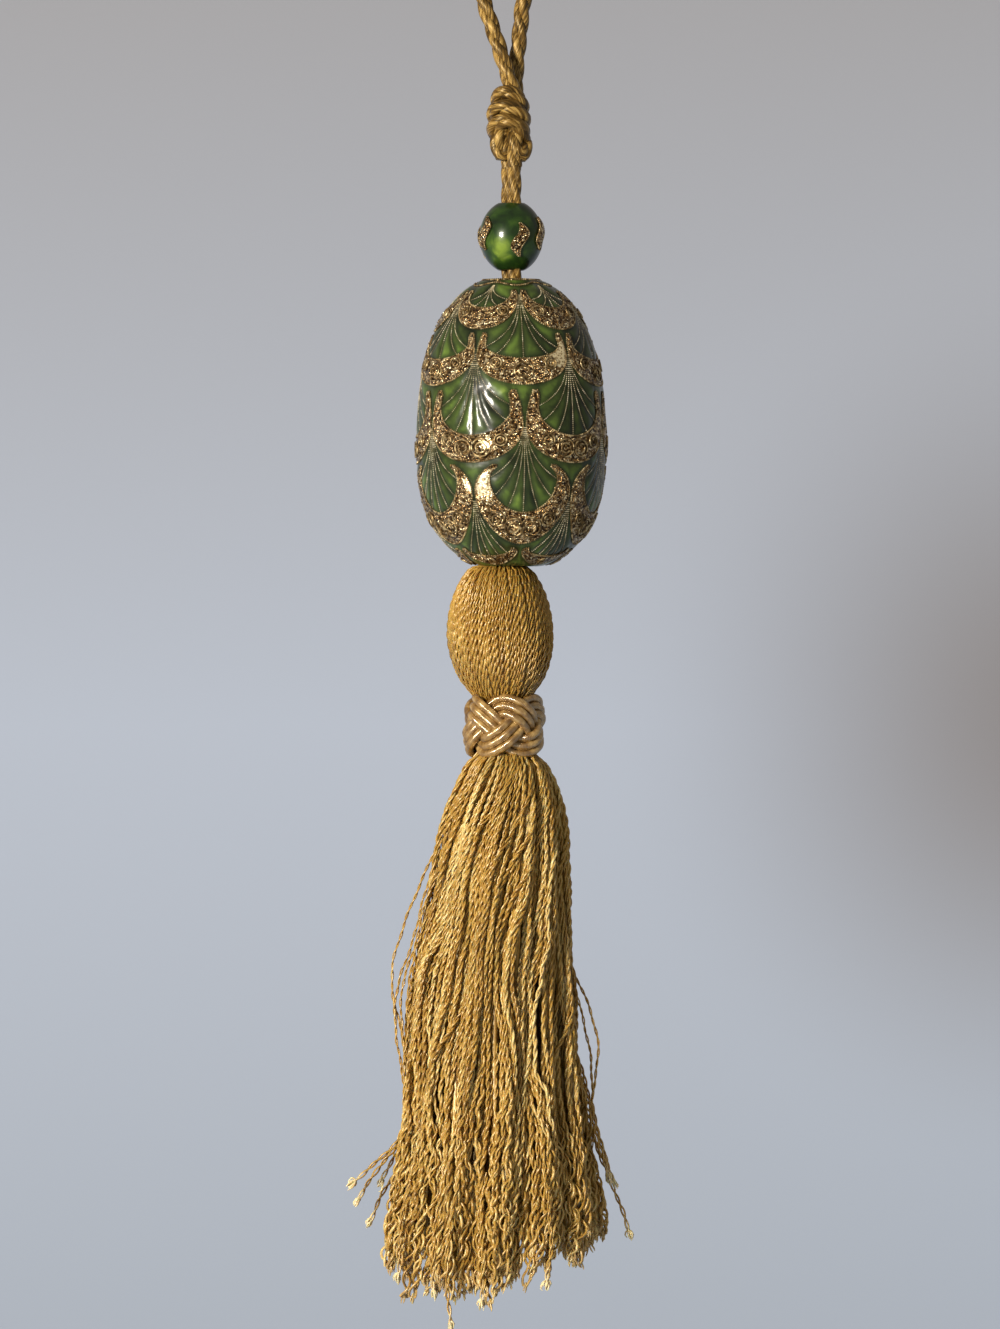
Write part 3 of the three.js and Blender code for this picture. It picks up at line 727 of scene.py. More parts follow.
eggEnamelLook = {
    "cells": True, "cloud": 4.0, "cloudShare": 0.6, "ripple": 3.2, "uneven": 0.5,
    "colours": [(0.34, "#10150b"), (0.52, "#232c15"), (0.7, "#36431e"), (0.86, "#506529"), (1.0, "#78893d")],
    "coat": 0.2,
}
beadEnamelLook = {
    "cells": False, "cloud": 3.5, "cloudShare": 0.75, "ripple": 5.0, "uneven": 0.2,
    # where the painted glow sits in the bead and how far it reaches
    "paintedGlowAt": (-0.0026, -0.0058, -0.0950), "paintedGlowReach": 6.4,
    "colours": [(0.35, "#0d180a"), (0.52, "#1b2f0f"), (0.7, "#314816"), (0.95, "#6f842b")],
    "coat": 0.4,
}


def foilPatch(outer, inner, across=7):
    # a crowned strip of foil between two lines of (azimuth, height), closed underneath
    rings = []
    sides = [(s, egg["foilTop"] - egg["foilCrown"] * (2 * s - 1) ** 2) for s in np.linspace(0, 1, across)]
    sides += [(1.0, egg["foilLift"]), (0.0, egg["foilLift"])]
    for s, lift in sides:
        line = inner + (outer - inner) * s
        rings.append(onEgg(handLaid(line[:, 0]), line[:, 1], lift))
    return np.stack(rings, axis=1)


def bareness(points):
    # 1 where the foil is plain and painted brighter, 0 where it is crushed
    places = [(onEgg(azimuth, z, egg["foilTop"]), reach) for azimuth, z, reach in egg["bareFoilShine"]]
    away = [np.linalg.norm(points - place, axis=1) / reach for place, reach in places]
    return 1 - smoothStep(0.7, 1.1, np.min(away, axis=0))


def makeFoil(material):
    rng = np.random.default_rng(11)
    vertices, faces = [], []
    count = 0
    for row in crescentRows:
        outer, inner = crescentEdges(row, 29)[:2]
        for centre in scaleCentres(row):
            shift = np.array([centre, 0])
            patch = foilPatch(outer + shift, inner + shift)
            stations, size = patch.shape[:2]
            vertices.append(patch.reshape(-1, 3))
            faces += ringFaces(stations, size, count)
            count += stations * size
    inside, outside = topRing(egg["ringTop"])
    low, lowOut = topRing(egg["foilLift"])
    patch = np.stack([inside, (inside + outside) / 2, outside, lowOut, low], axis=1)
    vertices.append(patch.reshape(-1, 3))
    faces += ringFaces(len(inside), 5, count, closed=True)
    vertices = np.vstack(vertices)
    bareShine = bareness(vertices)
    vertices += rng.normal(0, egg["foilCrumple"], vertices.shape) * (1 - 0.8 * bareShine)[:, None]
    piece = meshObject("eggFoil", vertices, faces, material, smooth=False)
    storeAttribute(piece, "bareFoilShine", bareShine)
    nodes = ["egg_top_ring"]
    nodes += [f"crescent_{r}_{i}" for r in range(1, 6) for i in range(1, 7)]
    return keep(piece, "gilt_filigree", *nodes)


def makeGrains(foil, material):
    # grains lie on the crushed foil only
    points = np.array([v.co for v in foil.data.vertices]) / mm
    bareShine = bareness(points)
    faces = [tuple(f.vertices) for f in foil.data.polygons if bareShine[list(f.vertices)].max() < 0.5]
    carrier = meshObject("eggGrains", points, faces)
    throughNodes(carrier, crushedGrains, Density=egg["grainsPerArea"], Grain_Radius=egg["grainRadius"] * mm,
                 Seed=3, Material=material)
    return keep(carrier, "gilt_filigree")


def makeCoils(material):
    # curls of twisted wire in the belly of each crescent
    rng = np.random.default_rng(23)
    batch = newBatch()
    for row in crescentRows:
        for centre in scaleCentres(row):
            depth = row["inner"] - row["bottom"]
            for k in range(row["coils"]):
                along = (k - (row["coils"] - 1) / 2) / max(row["coils"] - 1, 1)
                turn = along * row["half"] * egg["coilReach"]
                sag = (1 - math.cos(math.radians(55 * 2 * along))) * depth * 0.75
                middle = (row["inner"] + row["bottom"]) / 2 + sag
                # smaller towards the horns
                size = depth * egg["coilShare"] * (1 - 0.35 * abs(2 * along)) * rng.uniform(0.85, 1.05)
                for shrink in (1.0, 0.55):
                    t = np.linspace(0, full, 16, endpoint=False)
                    degrees = np.degrees(size * shrink / eggAt(middle))
                    addStrand(batch, onEgg(handLaid(centre + turn + degrees * np.cos(t)),
                                           middle + size * shrink * np.sin(t),
                                           egg["foilTop"] + egg["coilLift"]))
    piece = strandPiece("eggCoils", batch, 4, egg["coilRadius"], material, closed=True)
    return keep(piece, "gilt_filigree")


def makeWire(name, routes, material, pitch, radius, closed, rings=3):
    piece = lineObject(name, routes, closed)
    throughNodes(piece, beadedWire, Pitch=pitch * mm, Bead_Radius=radius * mm, Rings=rings, Material=material)
    return keep(piece, "gilt_filigree")


eggEnamel = makeEnamel("vitreousGreenEnamel", eggEnamelLook)
rims, veins, seeds = eggWires()
makeEnamelEgg(eggEnamel, rims, veins, seeds)
foil = makeFoil(crushedGiltFoil)
makeGrains(foil, crushedGiltFoil)
makeCoils(rimWire)
makeWire("eggRimWire", rims + topRing(egg["ringTop"]), rimWire, egg["wirePitch"], egg["wireRadius"], True)
makeWire("eggVeinWire", veins, veinWire, egg["veinPitch"], egg["veinRadius"], False, rings=2)
print("egg made")


bead = {
    "top": -84.6, "bottom": -99.4, "radius": 7.0, "mouth": 2.9, "around": 72, "down": 34,
    "leafLength": 7.2, "leafWidth": 2.8, "leafSway": 7.0, "wirePitch": 0.42, "wireRadius": 0.2,
    "leaves": [(16, 0.9), (66, -0.6), (130, 0.9), (188, -0.6), (246, 0.9), (304, -0.6)],  # azimuth, drop
}


def beadAt(z):
    middle = (bead["top"] + bead["bottom"]) / 2
    half = (bead["top"] - bead["bottom"]) / 2 / math.sqrt(1 - (bead["mouth"] / bead["radius"]) ** 2)
    return bead["radius"] * np.sqrt(1 - ((np.asarray(z) - middle) / half) ** 2)


def makeRoundBead(material):
    middle, half = (bead["top"] + bead["bottom"]) / 2, (bead["top"] - bead["bottom"]) / 2
    turn = np.radians(np.linspace(0, 360, bead["around"], endpoint=False))
    profile = [(float(beadAt(middle + half * math.cos(t))), middle + half * math.cos(t))
               for t in np.linspace(0.2, math.pi - 0.2, bead["down"])]
    profile += [(bead["mouth"], bead["bottom"]), (bead["mouth"] - 0.3, bead["bottom"] + 0.3),
                (bead["mouth"] - 0.3, bead["top"] - 0.3), (bead["mouth"], bead["top"])]
    vertices = [(r * math.sin(a), -r * math.cos(a), z) for r, z in profile for a in turn]
    faces = flipped(ringFaces(len(profile), bead["around"], closed=True))
    piece = meshObject("roundBead", vertices, faces, material)
    return keep(piece, "green_enamel", "round_bead")


def makeBeadLeaves(foilMaterial, wireMaterial):
    vertices, faces, rims = [], [], []
    middle = (bead["top"] + bead["bottom"]) / 2
    stations = np.linspace(0, 1, 17)
    # round the leaf's section: how far aside, in half widths, and how far out, in mm
    section = ((-1, 0.4), (-0.4, 0.62), (0.4, 0.62), (1, 0.4), (1, 0.1), (-1, 0.1))
    for azimuth, drop in bead["leaves"]:
        faces += ringFaces(len(stations), len(section), len(vertices))
        leaf = []
        for t in stations:
            z = middle - drop + bead["leafLength"] * (t - 0.5)
            sway = bead["leafSway"] * math.sin((t - 0.5) * full)
            width = bead["leafWidth"] * math.sin(math.pi * (0.04 + 0.92 * t)) / 2
            radius = float(beadAt(z))
            for side, lift in section:
                a = math.radians(azimuth + sway) + side * width / radius
                leaf.append(((radius + lift) * math.sin(a), -(radius + lift) * math.cos(a), z))
        vertices += leaf
        rims.append(np.array(leaf[::len(section)] + leaf[3::len(section)][::-1]))
    piece = meshObject("beadLeaves", vertices, faces, foilMaterial, smooth=False)
    keep(piece, "gilt_filigree", *[f"bead_leaf_{i}" for i in range(1, 7)])
    makeWire("beadLeafWire", rims, wireMaterial, bead["wirePitch"], bead["wireRadius"], True)


beadEnamel = makeEnamel("glassGreenBead", beadEnamelLook)
makeRoundBead(beadEnamel)
makeBeadLeaves(crushedGiltFoil, rimWire)
print("round bead made")


# two-ply rayon thread, the same hank for the head and the skirt
thread = {"plies": 2, "sides": 3, "plyRadius": 0.31, "plyOffset": 0.28, "turn": 4.6, "width": 1.0}

head = {
    "top": -164.3, "widest": -179.8, "foot": -195.0, "radius": 11.7, "upperHalf": 18.4, "lowerHalf": 16.2,
    "centreX": -2.5, "footX": -1.6, "shiftOver": 20.0,
    "threads": 88, "step": 0.65, "wander": 0.009, "jitter": 0.16, "inside": 0.4,
    "tone": 0.48,          # the head's threads take only the darker tones: partly its own more olive colour, partly painted shade that dims it under the window's light
    "coreAround": 40, "coreDown": 26, "coreFoot": -204.0, "coreInside": 0.85, "coreNeck": 4.0,
}


def headAt(z):
    reach = np.where(z > head["widest"], (z - head["widest"]) / head["upperHalf"],
                     (head["widest"] - z) / head["lowerHalf"])
    return head["radius"] * np.sqrt(np.maximum(1 - reach ** 2, 0.02))


def headOutline(z):
    # the oval, tucked in at the top under the egg and at the foot inside the band
    tucked = np.interp(-z, [164.3, 164.9, 165.6, 165.7], [4.6, 6.4, 7.6, 30.0])
    foot = np.interp(-z, [189.0, 190.5, 192.4, 194.5, 197.0], [30.0, 8.6, 7.4, 6.4, 5.6])
    return np.minimum(np.minimum(headAt(z), tucked), foot)


def headCentre(z):
    t = np.clip((head["widest"] - z) / head["shiftOver"], 0, 1)
    return head["centreX"] + (head["footX"] - head["centreX"]) * t


def tuckedUnder(i, count, radius):
    # where the round is too small for every thread side by side, this one slips under its neighbours
    # the golden ratio spreads those that do evenly
    rank = (i * 0.618034) % 1.0
    return smoothStep(-0.06, 0.06, rank - full * radius / thread["width"] / count)


def makeHead(material):
    rng = np.random.default_rng(31)
    z = np.arange(head["top"], head["foot"], -head["step"])
    batch = newBatch()
    for i in range(head["threads"]):
        wander = head["wander"] * np.sin(full * z / rng.uniform(14, 24) + rng.uniform(0, full))
        a = full * (i + rng.uniform(-head["jitter"], head["jitter"])) / head["threads"] + wander
        outline = headOutline(z)
        under = tuckedUnder(i, head["threads"], outline * 1.25)
        r = outline - head["inside"] - rng.uniform(0, 0.25) - 0.6 * under
        route = np.stack([headCentre(z) + r * np.sin(a), -r * np.cos(a), z], axis=1)
        thick = np.clip(full * r / head["threads"] / 0.72, 0.72, 1.12)
        # the head's darker tones are partly painted shade
        addPlied(batch, route, thread["plies"], thread["plyOffset"] * thick,
                 thread["turn"] * rng.uniform(0.85, 1.1), rng.uniform(0, full), head["tone"] * rng.random(),
                 thickness=thick)
    piece = strandPiece("headThreads", batch, thread["sides"], thread["plyRadius"], material)
    keep(piece, "gold_yarn", "head")
    turn = np.radians(np.linspace(0, 360, head["coreAround"], endpoint=False))
    heights = np.linspace(head["top"], head["coreFoot"], head["coreDown"])
    radii = np.maximum(headOutline(heights) - head["coreInside"], head["coreNeck"])
    vertices = [(float(headCentre(h)) + r * math.sin(a), -r * math.cos(a), h)
                for h, r in zip(heights, radii) for a in turn]
    core = meshObject("headCore", vertices, flipped(ringFaces(len(heights), len(turn))), material)
    core.data.uv_layers.new(name="UVMap")
    keep(core, "gold_yarn")


makeHead(rayonYarn)
print("head made")


band = {
    "top": -192.6, "bottom": -206.8, "centreX": -1.6,
    "leads": 3, "bights": 5,
    "weave": 4.4,           # the strand swings this far above and below the middle
    "cordDiameter": 1.9, "cordsPerStrand": 3, "spacing": 1.78,
    "radius": 7.25, "lift": 1.1,   # centre of the cords, and how far a strand rises to pass over
    "barrel": 0.72,                # how far the rims of the band draw in
}


def makeSatin(name, look):
    # satin gimp: fine rayon wound round a core, with one long highlight and tiny turns across it
    material, tree = newMaterial(name)
    uv = addNode(tree, "ShaderNodeUVMap", uv_map="UVMap")
    split = addNode(tree, "ShaderNodeSeparateXYZ", {0: uv})
    slant = addNode(tree, "ShaderNodeMath",
                    {0: split.outputs["Y"], 1: look["winding"] * mm, 2: split.outputs["X"]},
                    operation="MULTIPLY_ADD")
    windings = addNode(tree, "ShaderNodeMath", {0: slant, 1: full / (look["winding"] * mm)},
                       operation="MULTIPLY")
    ribs = addNode(tree, "ShaderNodeMath", {0: windings}, operation="SINE")
    spot = addNode(tree, "ShaderNodeVectorMath", {0: uv, 1: (500.0, 2.0, 1.0)}, operation="MULTIPLY")
    slow = addNode(tree, "ShaderNodeTexNoise", {"Vector": spot, "Scale": 1.0, "Detail": 2.0})
    mixed = addNode(tree, "ShaderNodeMath", {0: ribs, 1: 0.06, 2: slow}, operation="MULTIPLY_ADD")
    colour = addNode(tree, "ShaderNodeValToRGB", {"Fac": mixed}, look["colours"])
    bump = addNode(tree, "ShaderNodeBump", {"Height": ribs, "Strength": 0.25, "Distance": 0.0001})
    lay = addNode(tree, "ShaderNodeTangent", direction_type="UV_MAP", uv_map="UVMap")
    shader = addNode(tree, "ShaderNodeBsdfPrincipled", {
        "Base Color": colour, "Roughness": 0.22, "IOR": 2.0, "Specular IOR Level": 1.0,
        "Specular Tint": linear("#ffe9c6"), "Anisotropic": 0.6, "Tangent": lay,
        "Sheen Weight": 0.05, "Sheen Roughness": 0.4, "Normal": bump,
    })
    addNode(tree, "ShaderNodeOutputMaterial", {"Surface": shader})
    return material


def makeBand(material):
    middle = (band["top"] + band["bottom"]) / 2
    angle = np.linspace(0, full * band["leads"], 330, endpoint=False)
    along = angle * band["bights"] / band["leads"]
    slope = -band["weave"] * band["bights"] / band["leads"] * np.sin(along) / band["radius"]
    length = np.hypot(1, slope)
    batch = newBatch()
    for k in range(band["cordsPerStrand"]):
        aside = (k - (band["cordsPerStrand"] - 1) / 2) * band["spacing"]
        # aside is measured square to the strand, on the barrel of the band
        turn = angle - aside * slope / length / band["radius"]
        z = middle + band["weave"] * np.cos(along) + aside / length
        drawnIn = band["barrel"] * ((z - middle) / (band["weave"] + band["spacing"])) ** 2
        r = band["radius"] + band["lift"] * np.sin(2 * along) - drawnIn
        addStrand(batch, np.stack([band["centreX"] + r * np.sin(turn), -r * np.cos(turn), z], axis=1))
    piece = strandPiece("bandCords", batch, 10, band["cordDiameter"] / 2, material, closed=True)
    keep(piece, "satin_cord", "knot_band")


# windings of 0.3 mm, a little coarser than the real ones so that they show
satinLook = {"winding": 0.3, "colours": [(0.3, "#4c2e0b"), (0.5, "#7d5c28"), (0.7, "#b5965c")]}
satinGimp = makeSatin("satinGimp", satinLook)
makeBand(satinGimp)
print("band made")


skirt = {
    "outerThreads": 148, "secondThreads": 124, "coreThreads": 84,
    "locks": 13, "lockTurn": 0.5,
    "bunches": 42, "bunching": (-0.15, 0.3),   # small bunches of threads that lie together
    "step": 0.7, "secondStep": 1.0,
    "sweep": 22.0, "sweepMore": 24.0, "sweepTowards": -60.0, "sweepReach": 22.0,   # combed to the left
    "sway": 0.9, "swayPitch": 58.0,
    "bulge": (-1.66, -266.0, 13.0, 2.4),   # angle, height, reach, how far: a lock that stands off at the left
    "astray": 2.5, "tuck": 1.1,
    "crossing": 0.18, "crossTurn": (18, 40),   # share of threads that cross over others, and how far
    "curl": 0.46, "curlPitch": 7.4, "curlFrom": 262.0, "curlFull": 306.0,
    "opening": 36.0, "opened": (0.3, 1.7),     # the plies part over this many mm above the ends
    "neck": -205.9, "hem": -318.0, "unevenHem": 2.0,
    "hemDrops": [4.5, 3.0, 0.0, -2.5, -4.0, 1.0, 2.5, -2.0, -4.5, -7.5, -6.0, -2.0, 1.5],
    "fibreRadius": 0.17, "fibresPerEnd": 4,
    "coreRadius": 0.95, "coreStep": 3.5, "coreInside": 2.3, "coreDepths": (2.6, 15.9),
}
# dark partings between locks: angle, top, bottom, half width in mm
partings = [
    (0.30, -236, -266, 1.0), (0.66, -248, -286, 1.2), (-0.52, -268, -300, 0.7), (2.3, -240, -290, 1.0),
]
# z, radius, centreX, lobe
skirtSections = np.array([
    (-203.5, 4.9, -1.6, 0.0), (-205.6, 6.4, -1.6, 0.1), (-207.3, 8.0, -1.5, 0.2),
    (-208.4, 9.2, -1.4, 0.3), (-212.0, 10.8, -1.4, 0.4), (-217.0, 12.6, -1.5, 0.6),
    (-224.0, 13.7, -1.8, 0.7), (-238.0, 15.1, -2.4, 0.9), (-254.0, 16.4, -3.6, 1.1),
    (-271.0, 17.8, -3.8, 1.2), (-287.0, 19.4, -3.5, 1.3), (-301.0, 21.8, -3.4, 1.4),
    (-311.0, 22.7, -3.6, 1.6), (-322.0, 22.4, -3.8, 1.8),
])
onSurface = 0.9
# azimuth, height and how far out; these have solids of their own
strayThreads = {
    "stray_thread_1": [(-95, -227, onSurface), (-96, -243, 4.6), (-96, -256, 5.2), (-95, -272, onSurface)],
    "stray_thread_2": [(-80, -291, onSurface), (-79, -296, 5.0), (-78, -300, 9.2)],
    "stray_thread_3": [(-99, -297, onSurface), (-98, -303, 4.2), (-97, -309, 6.8)],
    "stray_thread_4": [(88, -251, onSurface), (89, -262, 4.0), (90, -271, 4.4), (91, -283, onSurface)],
    "stray_thread_5": [(92, -292, onSurface), (91, -302, 3.6), (90, -311.5, 6.8)],
    "stray_thread_6": [(-22, -303, onSurface), (-23, -316, 3.4), (-22, -330, 3.0)],
}
# and these lie close beside them
moreStrays = [
    [(-93, -236, onSurface), (-94, -246, 1.7), (-94, -262, 4.2), (-93, -284, onSurface)],
    [(-90, -247, onSurface), (-92, -256, 2.9), (-90, -266, 3.4), (-92, -278, onSurface)],
    [(-88, -240, onSurface), (-90, -250, 1.4), (-89, -261, 2.6), (-88, -272, onSurface)],
    [(-84, -251, onSurface), (-86, -262, 2.2), (-87, -272, 3.0), (-85, -289, onSurface)],
    [(-86, -290, onSurface), (-86, -296, 4.4), (-86, -304, 8.0)],
    [(-92, -284, onSurface), (-91, -292, 2.4), (-90, -300, 4.6)],
    [(86, -250, onSurface), (86, -261, 2.6), (87, -273, 3.2), (88, -286, onSurface)],
    [(95, -280, onSurface), (95, -290, 2.6), (94, -298, 3.6)],
    [(88, -284, onSurface), (88, -293, 1.8), (89, -300, 3.0)],
    [(84, -282, onSurface), (85, -291, 1.6), (86, -299, 2.2)],
    [(-34, -304, onSurface), (-33, -314, 1.4), (-34, -323, 0.8)],
    [(-55, -304, onSurface), (-55, -313, 1.2), (-57, -320, 0.8)],
    [(-8, -306, onSurface), (-6, -316, 1.0), (-7, -325, 0.4)],
    [(28, -302, onSurface), (29, -312, 1.0), (27, -321, 0.8)],
]


def sectionAt(z, column):
    return np.interp(-z, -skirtSections[:, 0], skirtSections[:, column])


def downSkirt(z):
    # 0 under the band and 1 at the hem
    return np.clip((skirt["neck"] - z) / (skirt["neck"] - skirt["hem"]), 0, 1)


def onSkirt(angle, z, out):
    lobe = sectionAt(z, 3) * np.cos(skirt["locks"] * (angle + skirt["lockTurn"] * downSkirt(z)))
    radius = sectionAt(z, 1) + lobe + out
    return np.stack([sectionAt(z, 2) + radius * np.sin(angle), -radius * np.cos(angle), z], axis=-1)


def hemAt(angle):
    lock = int(math.floor(-angle * skirt["locks"] / full)) % skirt["locks"]
    return skirt["hem"] - skirt["hemDrops"][lock]


def wave(rng, z, shortest, longest):
    return np.sin(full * z / rng.uniform(shortest, longest) + rng.uniform(0, full))


def threadRoute(rng, i, count, angle, bunched, depth, end, step):
    z = np.arange(-203.5, end, -step)
    down = downSkirt(z)
    radius = sectionAt(z, 1)
    # combed to the left under the band
    sweep = skirt["sweep"] + skirt["sweepMore"] * math.cos(angle - math.radians(skirt["sweepTowards"]))
    turn = math.radians(sweep) * np.exp(-np.clip(-205 - z, 0, None) / skirt["sweepReach"])
    turn = turn + math.radians(rng.normal(0, skirt["astray"])) * (1 - smoothStep(0.0, 0.75, down))
    turn = turn + bunched * smoothStep(0.1, 0.5, down)
    out = -depth + rng.uniform(0.1, 0.35) * wave(rng, z, 18, 40)
    out = out - skirt["tuck"] * tuckedUnder(i, count, radius)
    if depth < 1 and rng.random() < skirt["crossing"]:
        crossed = rng.uniform(0.1, 0.6)
        over = 1 - smoothStep(crossed - 0.13, crossed + 0.13, down)
        turn = turn + math.radians(rng.uniform(*skirt["crossTurn"])) * over
        out = np.maximum(out, -0.1 * np.ones(len(z)))
    # neighbours sway together and each wanders a little by itself
    side = skirt["sway"] * np.sin(4 * angle + full * z / skirt["swayPitch"])
    side = side + rng.uniform(0.15, 0.5) * wave(rng, z, 38, 70)
    side = side + rng.uniform(0.08, 0.28) * wave(rng, z, 11, 20)
    side = side * smoothStep(0.02, 0.3, down) + rng.normal(0, 0.7) * smoothStep(0.7, 1.0, down)
    at, height, reach, most = skirt["bulge"]
    out = out + rng.random() * most * np.exp(-((angle - at) / 0.36) ** 2 - ((z - height) / reach) ** 2)
    for at, top, bottom, half in partings:
        away = ((angle - at + math.pi) % full - math.pi) * radius
        t = (top - z) / (top - bottom)
        opened = smoothStep(0, 0.35, t) * (1 - smoothStep(0.65, 1, t))
        side = side + math.copysign(half, away[0]) * np.exp(-(away / (2.2 * half)) ** 2) * opened
    curl = skirt["curl"] * rng.uniform(0.15, 1.35)
    curl = curl * (0.12 + smoothStep(skirt["curlFrom"], skirt["curlFull"], -z))
    phase = full * z / (skirt["curlPitch"] * rng.uniform(0.75, 1.3)) + rng.uniform(0, full)
    side = side + curl * np.cos(phase)
    out = out + 0.6 * curl * np.sin(phase)
    route = onSkirt(angle + turn + side / radius, z, out)
    return resample(route, int(routeLength(route) / step))


def frayedEnd(rng, route, fibres, tone, count, puff, pale):
    # the last few mm burst into loose fibres: puff is how far they spread, pale how much they fade
    end = route[-1]
    run = route[-1] - route[-5]
    run = run / np.linalg.norm(run)
    for k in range(count):
        t = np.linspace(0, 1, 4)[:, None]
        spread = puff * (rng.normal(0, 0.42, 3) * np.sin(2.3 * t) + rng.normal(0, 0.12, 3) * t)
        addStrand(fibres, end - run * 0.9 + run * rng.uniform(1.5, 2.6) * t + spread, tone,
                  np.array([1.1, 1.45, 1.3, 0.6]), np.linspace(0.6, 1.0, 4) * pale)


def addThread(rng, batch, route, tone, opening=0.0, thickness=1.0, tip=0.4):
    # towards its end a thread loosens and its plies part
    left = routeLength(route) * np.linspace(1, 0, len(route))
    opened = opening * smoothStep(skirt["opening"], 3.0, left)
    addPlied(batch, route, thread["plies"], thickness * thread["plyOffset"] * (1 + opened),
             thread["turn"] * rng.uniform(0.9, 1.2) * (1 + 0.55 * opened), rng.uniform(0, full), tone,
             thickness=thickness, tip=tip * (1 - smoothStep(0, 5, left)))


def makeLayer(rng, name, count, depth, step, fibres, material):
    halves = {"Left": newBatch(), "Right": newBatch()}
    for i in range(count):
        own = full * i / count
        middle = full * round(i * skirt["bunches"] / count) / skirt["bunches"]
        bunched = (middle - own) * rng.uniform(*skirt["bunching"])
        angle = (own + rng.normal(0, 0.01) + math.pi) % full - math.pi
        end = hemAt(angle) + rng.normal(0.2, skirt["unevenHem"])
        route = threadRoute(rng, i, count, angle, bunched, depth + rng.uniform(-0.4, 0.4), end, step)
        tone = rng.random()
        # thin where the band grips, full below and fuller at the hem
        down = -route[:, 2]
        thick = 0.78 + 0.24 * smoothStep(204, 222, down) + 0.1 * smoothStep(285, 312, down)
        half = "Left" if angle < 0 else "Right"
        addThread(rng, halves[half], route, tone, rng.uniform(*skirt["opened"]), thick, 0.2)
        frayedEnd(rng, route, fibres, tone, skirt["fibresPerEnd"], 0.75, 0.35)
    for half, batch in halves.items():
        piece = strandPiece(name + half, batch, thread["sides"], thread["plyRadius"], material)
        keep(piece, "gold_yarn", *(["skirt"] if name + half == "skirtOuterLeft" else []))


def makeSkirt(material):
    rng = np.random.default_rng(58)
    fibres = newBatch()
    makeLayer(rng, "skirtOuter", skirt["outerThreads"], 0.5, skirt["step"], fibres, material)
    makeLayer(rng, "skirtSecond", skirt["secondThreads"], 1.55, skirt["secondStep"], fibres, material)
    keep(strandPiece("skirtFray", fibres, 3, skirt["fibreRadius"], material), "gold_yarn")
    core = newBatch()
    for i in range(skirt["coreThreads"]):
        angle = full * i * 0.382   # the golden angle spreads them evenly
        shallow, deep = skirt["coreDepths"]
        depth = shallow + (deep - shallow) * (i / skirt["coreThreads"]) ** 1.3
        end = hemAt((angle + math.pi) % full - math.pi) + rng.uniform(0, 4)
        z = np.arange(-205.0, end, -skirt["coreStep"])
        # close under the outline at the neck, and spread through the skirt below
        sink = (depth - skirt["coreInside"]) * smoothStep(0, 0.5, (-205 - z) / 112)
        inside = np.maximum(sectionAt(z, 1) - skirt["coreInside"] - sink, 1.5)
        across = sectionAt(z, 2) + inside * np.sin(angle)
        # the inner threads take only the darker tones: painted shade inside the skirt
        addStrand(core, np.stack([across, -inside * np.cos(angle), z], axis=1), rng.random() * 0.3)
    keep(strandPiece("skirtCore", core, 4, skirt["coreRadius"], material), "gold_yarn")


def makeStray(rng, name, table, fibres, material):
    # a thread that returns to the skirt slips back in among the others; one that doesn't ends in the open
    azimuth, z = table[0][:2]
    points = [onSkirt(math.radians(azimuth + 2), np.float64(z + 9), -0.8)]
    points += [onSkirt(math.radians(a), np.float64(h), o) for a, h, o in table]
    azimuth, z, out = table[-1]
    returns = out == onSurface
    if returns:
        points.append(onSkirt(math.radians(azimuth), np.float64(z - 9), -0.8))
    rough = splineThrough(points, 200)
    route = resample(rough, int(routeLength(rough) / 0.5))
    z = route[:, 2]
    route[:, 0] += 0.12 * wave(rng, z, 7, 10)
    route[:, 1] += 0.12 * wave(rng, z, 7, 10)
    batch = newBatch()
    opening, thick, tip = (0.0, 0.62, 0.0) if returns else (0.4, 0.8, 0.9)
    addThread(rng, batch, route, 0.45, opening, thick, tip)
    if not returns:
        frayedEnd(rng, route, fibres, 0.9, 4 * skirt["fibresPerEnd"], 0.95, 1.0)
    return strandPiece(name, batch, thread["sides"], thread["plyRadius"], material)


def makeStrays(material):
    rng = np.random.default_rng(77)
    fibres = newBatch()
    for node, table in strayThreads.items():
        piece = makeStray(rng, node.replace("stray_thread_", "strayThread"), table, fibres, material)
        keep(piece, "gold_yarn", node)
    for i, table in enumerate(moreStrays):
        keep(makeStray(rng, f"looseThread{i + 1}", table, fibres, material), "gold_yarn")
    keep(strandPiece("strayFray", fibres, 3, skirt["fibreRadius"], material), "gold_yarn")


makeSkirt(rayonYarn)
makeStrays(rayonYarn)
print("skirt made")


# a pale painted board, bent up behind, lit by one window on the left
stage = {
    "floor": -0.42, "wall": 0.55, "bend": 0.22, "halfWidth": 2.2, "front": -3.2, "height": 1.6,
    # painted shading: the board is palest about the object's height, a little darker low down and greyest
    # high up
    "colours": [(0.0, "#a7afba"), (0.45, "#b6bdc9"), (1.0, "#9a9592")],
    "paleFrom": -0.45, "greyFrom": 0.1,    # heights between which the colours run
    "shadeAt": (0.16, 0.55, -0.2), "shadeReach": 0.14, "shadeDepth": 0.95, "shade": "#8b8685",
    "ownLight": 0.7,                       # share of its plain colour that the view and mirrors see
}
window = {
    "place": (-0.8, -1.1, 0.03), "target": (0, 0, -0.18), "size": 0.27, "energy": 32, "colour": "#fff6ea",
}
room = {"colour": "#ece6da", "strength": 0.41}


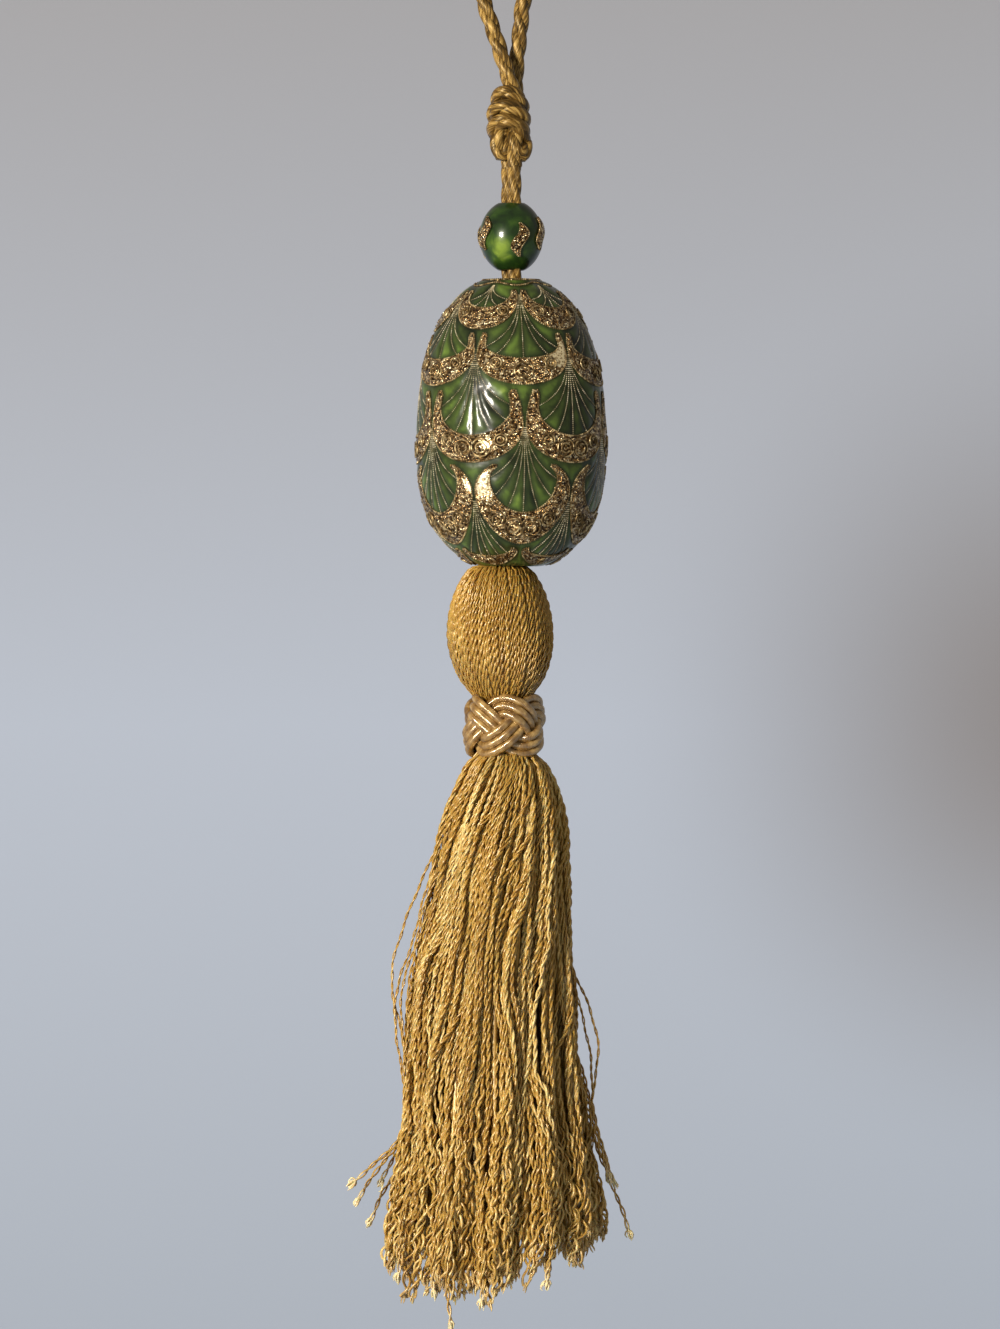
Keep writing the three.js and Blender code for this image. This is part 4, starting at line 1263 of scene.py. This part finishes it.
def makeStage():
    bend, foot = stage["bend"], stage["wall"] - stage["bend"]
    profile = [(stage["front"], stage["floor"])]
    for k in range(13):
        a = math.radians(90 * k / 12)
        profile.append((foot + bend * math.sin(a), stage["floor"] + bend - bend * math.cos(a)))
    profile.append((stage["wall"], stage["height"]))
    width = stage["halfWidth"]
    vertices = [(x / mm, y / mm, z / mm) for y, z in profile for x in (-width, width)]
    faces = [(2 * i, 2 * i + 1, 2 * i + 3, 2 * i + 2) for i in range(len(profile) - 1)]
    material, tree = newMaterial("mattPaintedBoard")
    place = addNode(tree, "ShaderNodeTexCoord").outputs["Object"]
    split = addNode(tree, "ShaderNodeSeparateXYZ", {0: place})
    up = addNode(tree, "ShaderNodeMapRange", {
        "Value": split.outputs["Z"], "From Min": stage["paleFrom"], "From Max": stage["greyFrom"],
    })
    paintedFalloff = addNode(tree, "ShaderNodeValToRGB", {"Fac": up}, stage["colours"])
    away = addNode(tree, "ShaderNodeVectorMath", {0: place, 1: stage["shadeAt"]}, operation="DISTANCE")
    dim = addNode(tree, "ShaderNodeMapRange",
                  {"Value": away.outputs["Value"], "From Max": stage["shadeReach"],
                   "To Min": stage["shadeDepth"], "To Max": 0.0}, interpolation_type="SMOOTHSTEP")
    colour = addNode(tree, "ShaderNodeMix", {0: dim, 6: paintedFalloff, 7: linear(stage["shade"])},
                     data_type="RGBA").outputs[2]
    matt = addNode(tree, "ShaderNodeBsdfPrincipled",
                   {"Base Color": colour, "Roughness": 0.9, "Specular IOR Level": 0.1})
    rays = addNode(tree, "ShaderNodeLightPath")
    mirrored = addNode(tree, "ShaderNodeMath",
                       {0: rays.outputs["Is Glossy Ray"], 1: rays.outputs["Is Transmission Ray"]},
                       operation="MAXIMUM")
    seen = addNode(tree, "ShaderNodeMath", {0: rays.outputs["Is Camera Ray"], 1: mirrored},
                   operation="MAXIMUM")
    share = addNode(tree, "ShaderNodeMath", {0: seen, 1: stage["ownLight"]}, operation="MULTIPLY")
    plain = addNode(tree, "ShaderNodeEmission", {"Color": colour, "Strength": 1.0})
    front = addNode(tree, "ShaderNodeMixShader", {0: share, 1: matt, 2: plain})
    # from behind, the board is left out of the view
    behind = addNode(tree, "ShaderNodeNewGeometry").outputs["Backfacing"]
    gone = addNode(tree, "ShaderNodeBsdfTransparent")
    shader = addNode(tree, "ShaderNodeMixShader", {0: behind, 1: front, 2: gone})
    addNode(tree, "ShaderNodeOutputMaterial", {"Surface": shader})
    meshObject("backdrop", vertices, faces, material)


def makeWindow():
    data = bpy.data.lights.new("windowLight", "AREA")
    data.shape = "SQUARE"
    data.size = window["size"]
    data.energy = window["energy"]
    data.color = linear(window["colour"])[:3]
    towards = Vector(window["target"]) - Vector(window["place"])
    addObject("windowLight", data, window["place"], towards.to_track_quat("-Z", "Y").to_euler())


makeStage()
makeWindow()

world = bpy.data.worlds.new("softRoom")
bpy.context.scene.world = world
world.use_nodes = True
world.node_tree.nodes.clear()
roomLight = addNode(world.node_tree, "ShaderNodeBackground",
                    {"Color": linear(room["colour"]), "Strength": room["strength"]})
addNode(world.node_tree, "ShaderNodeOutputWorld", {"Surface": roomLight})
bpy.context.scene.view_settings.view_transform = "Standard"
print("stage and light set")
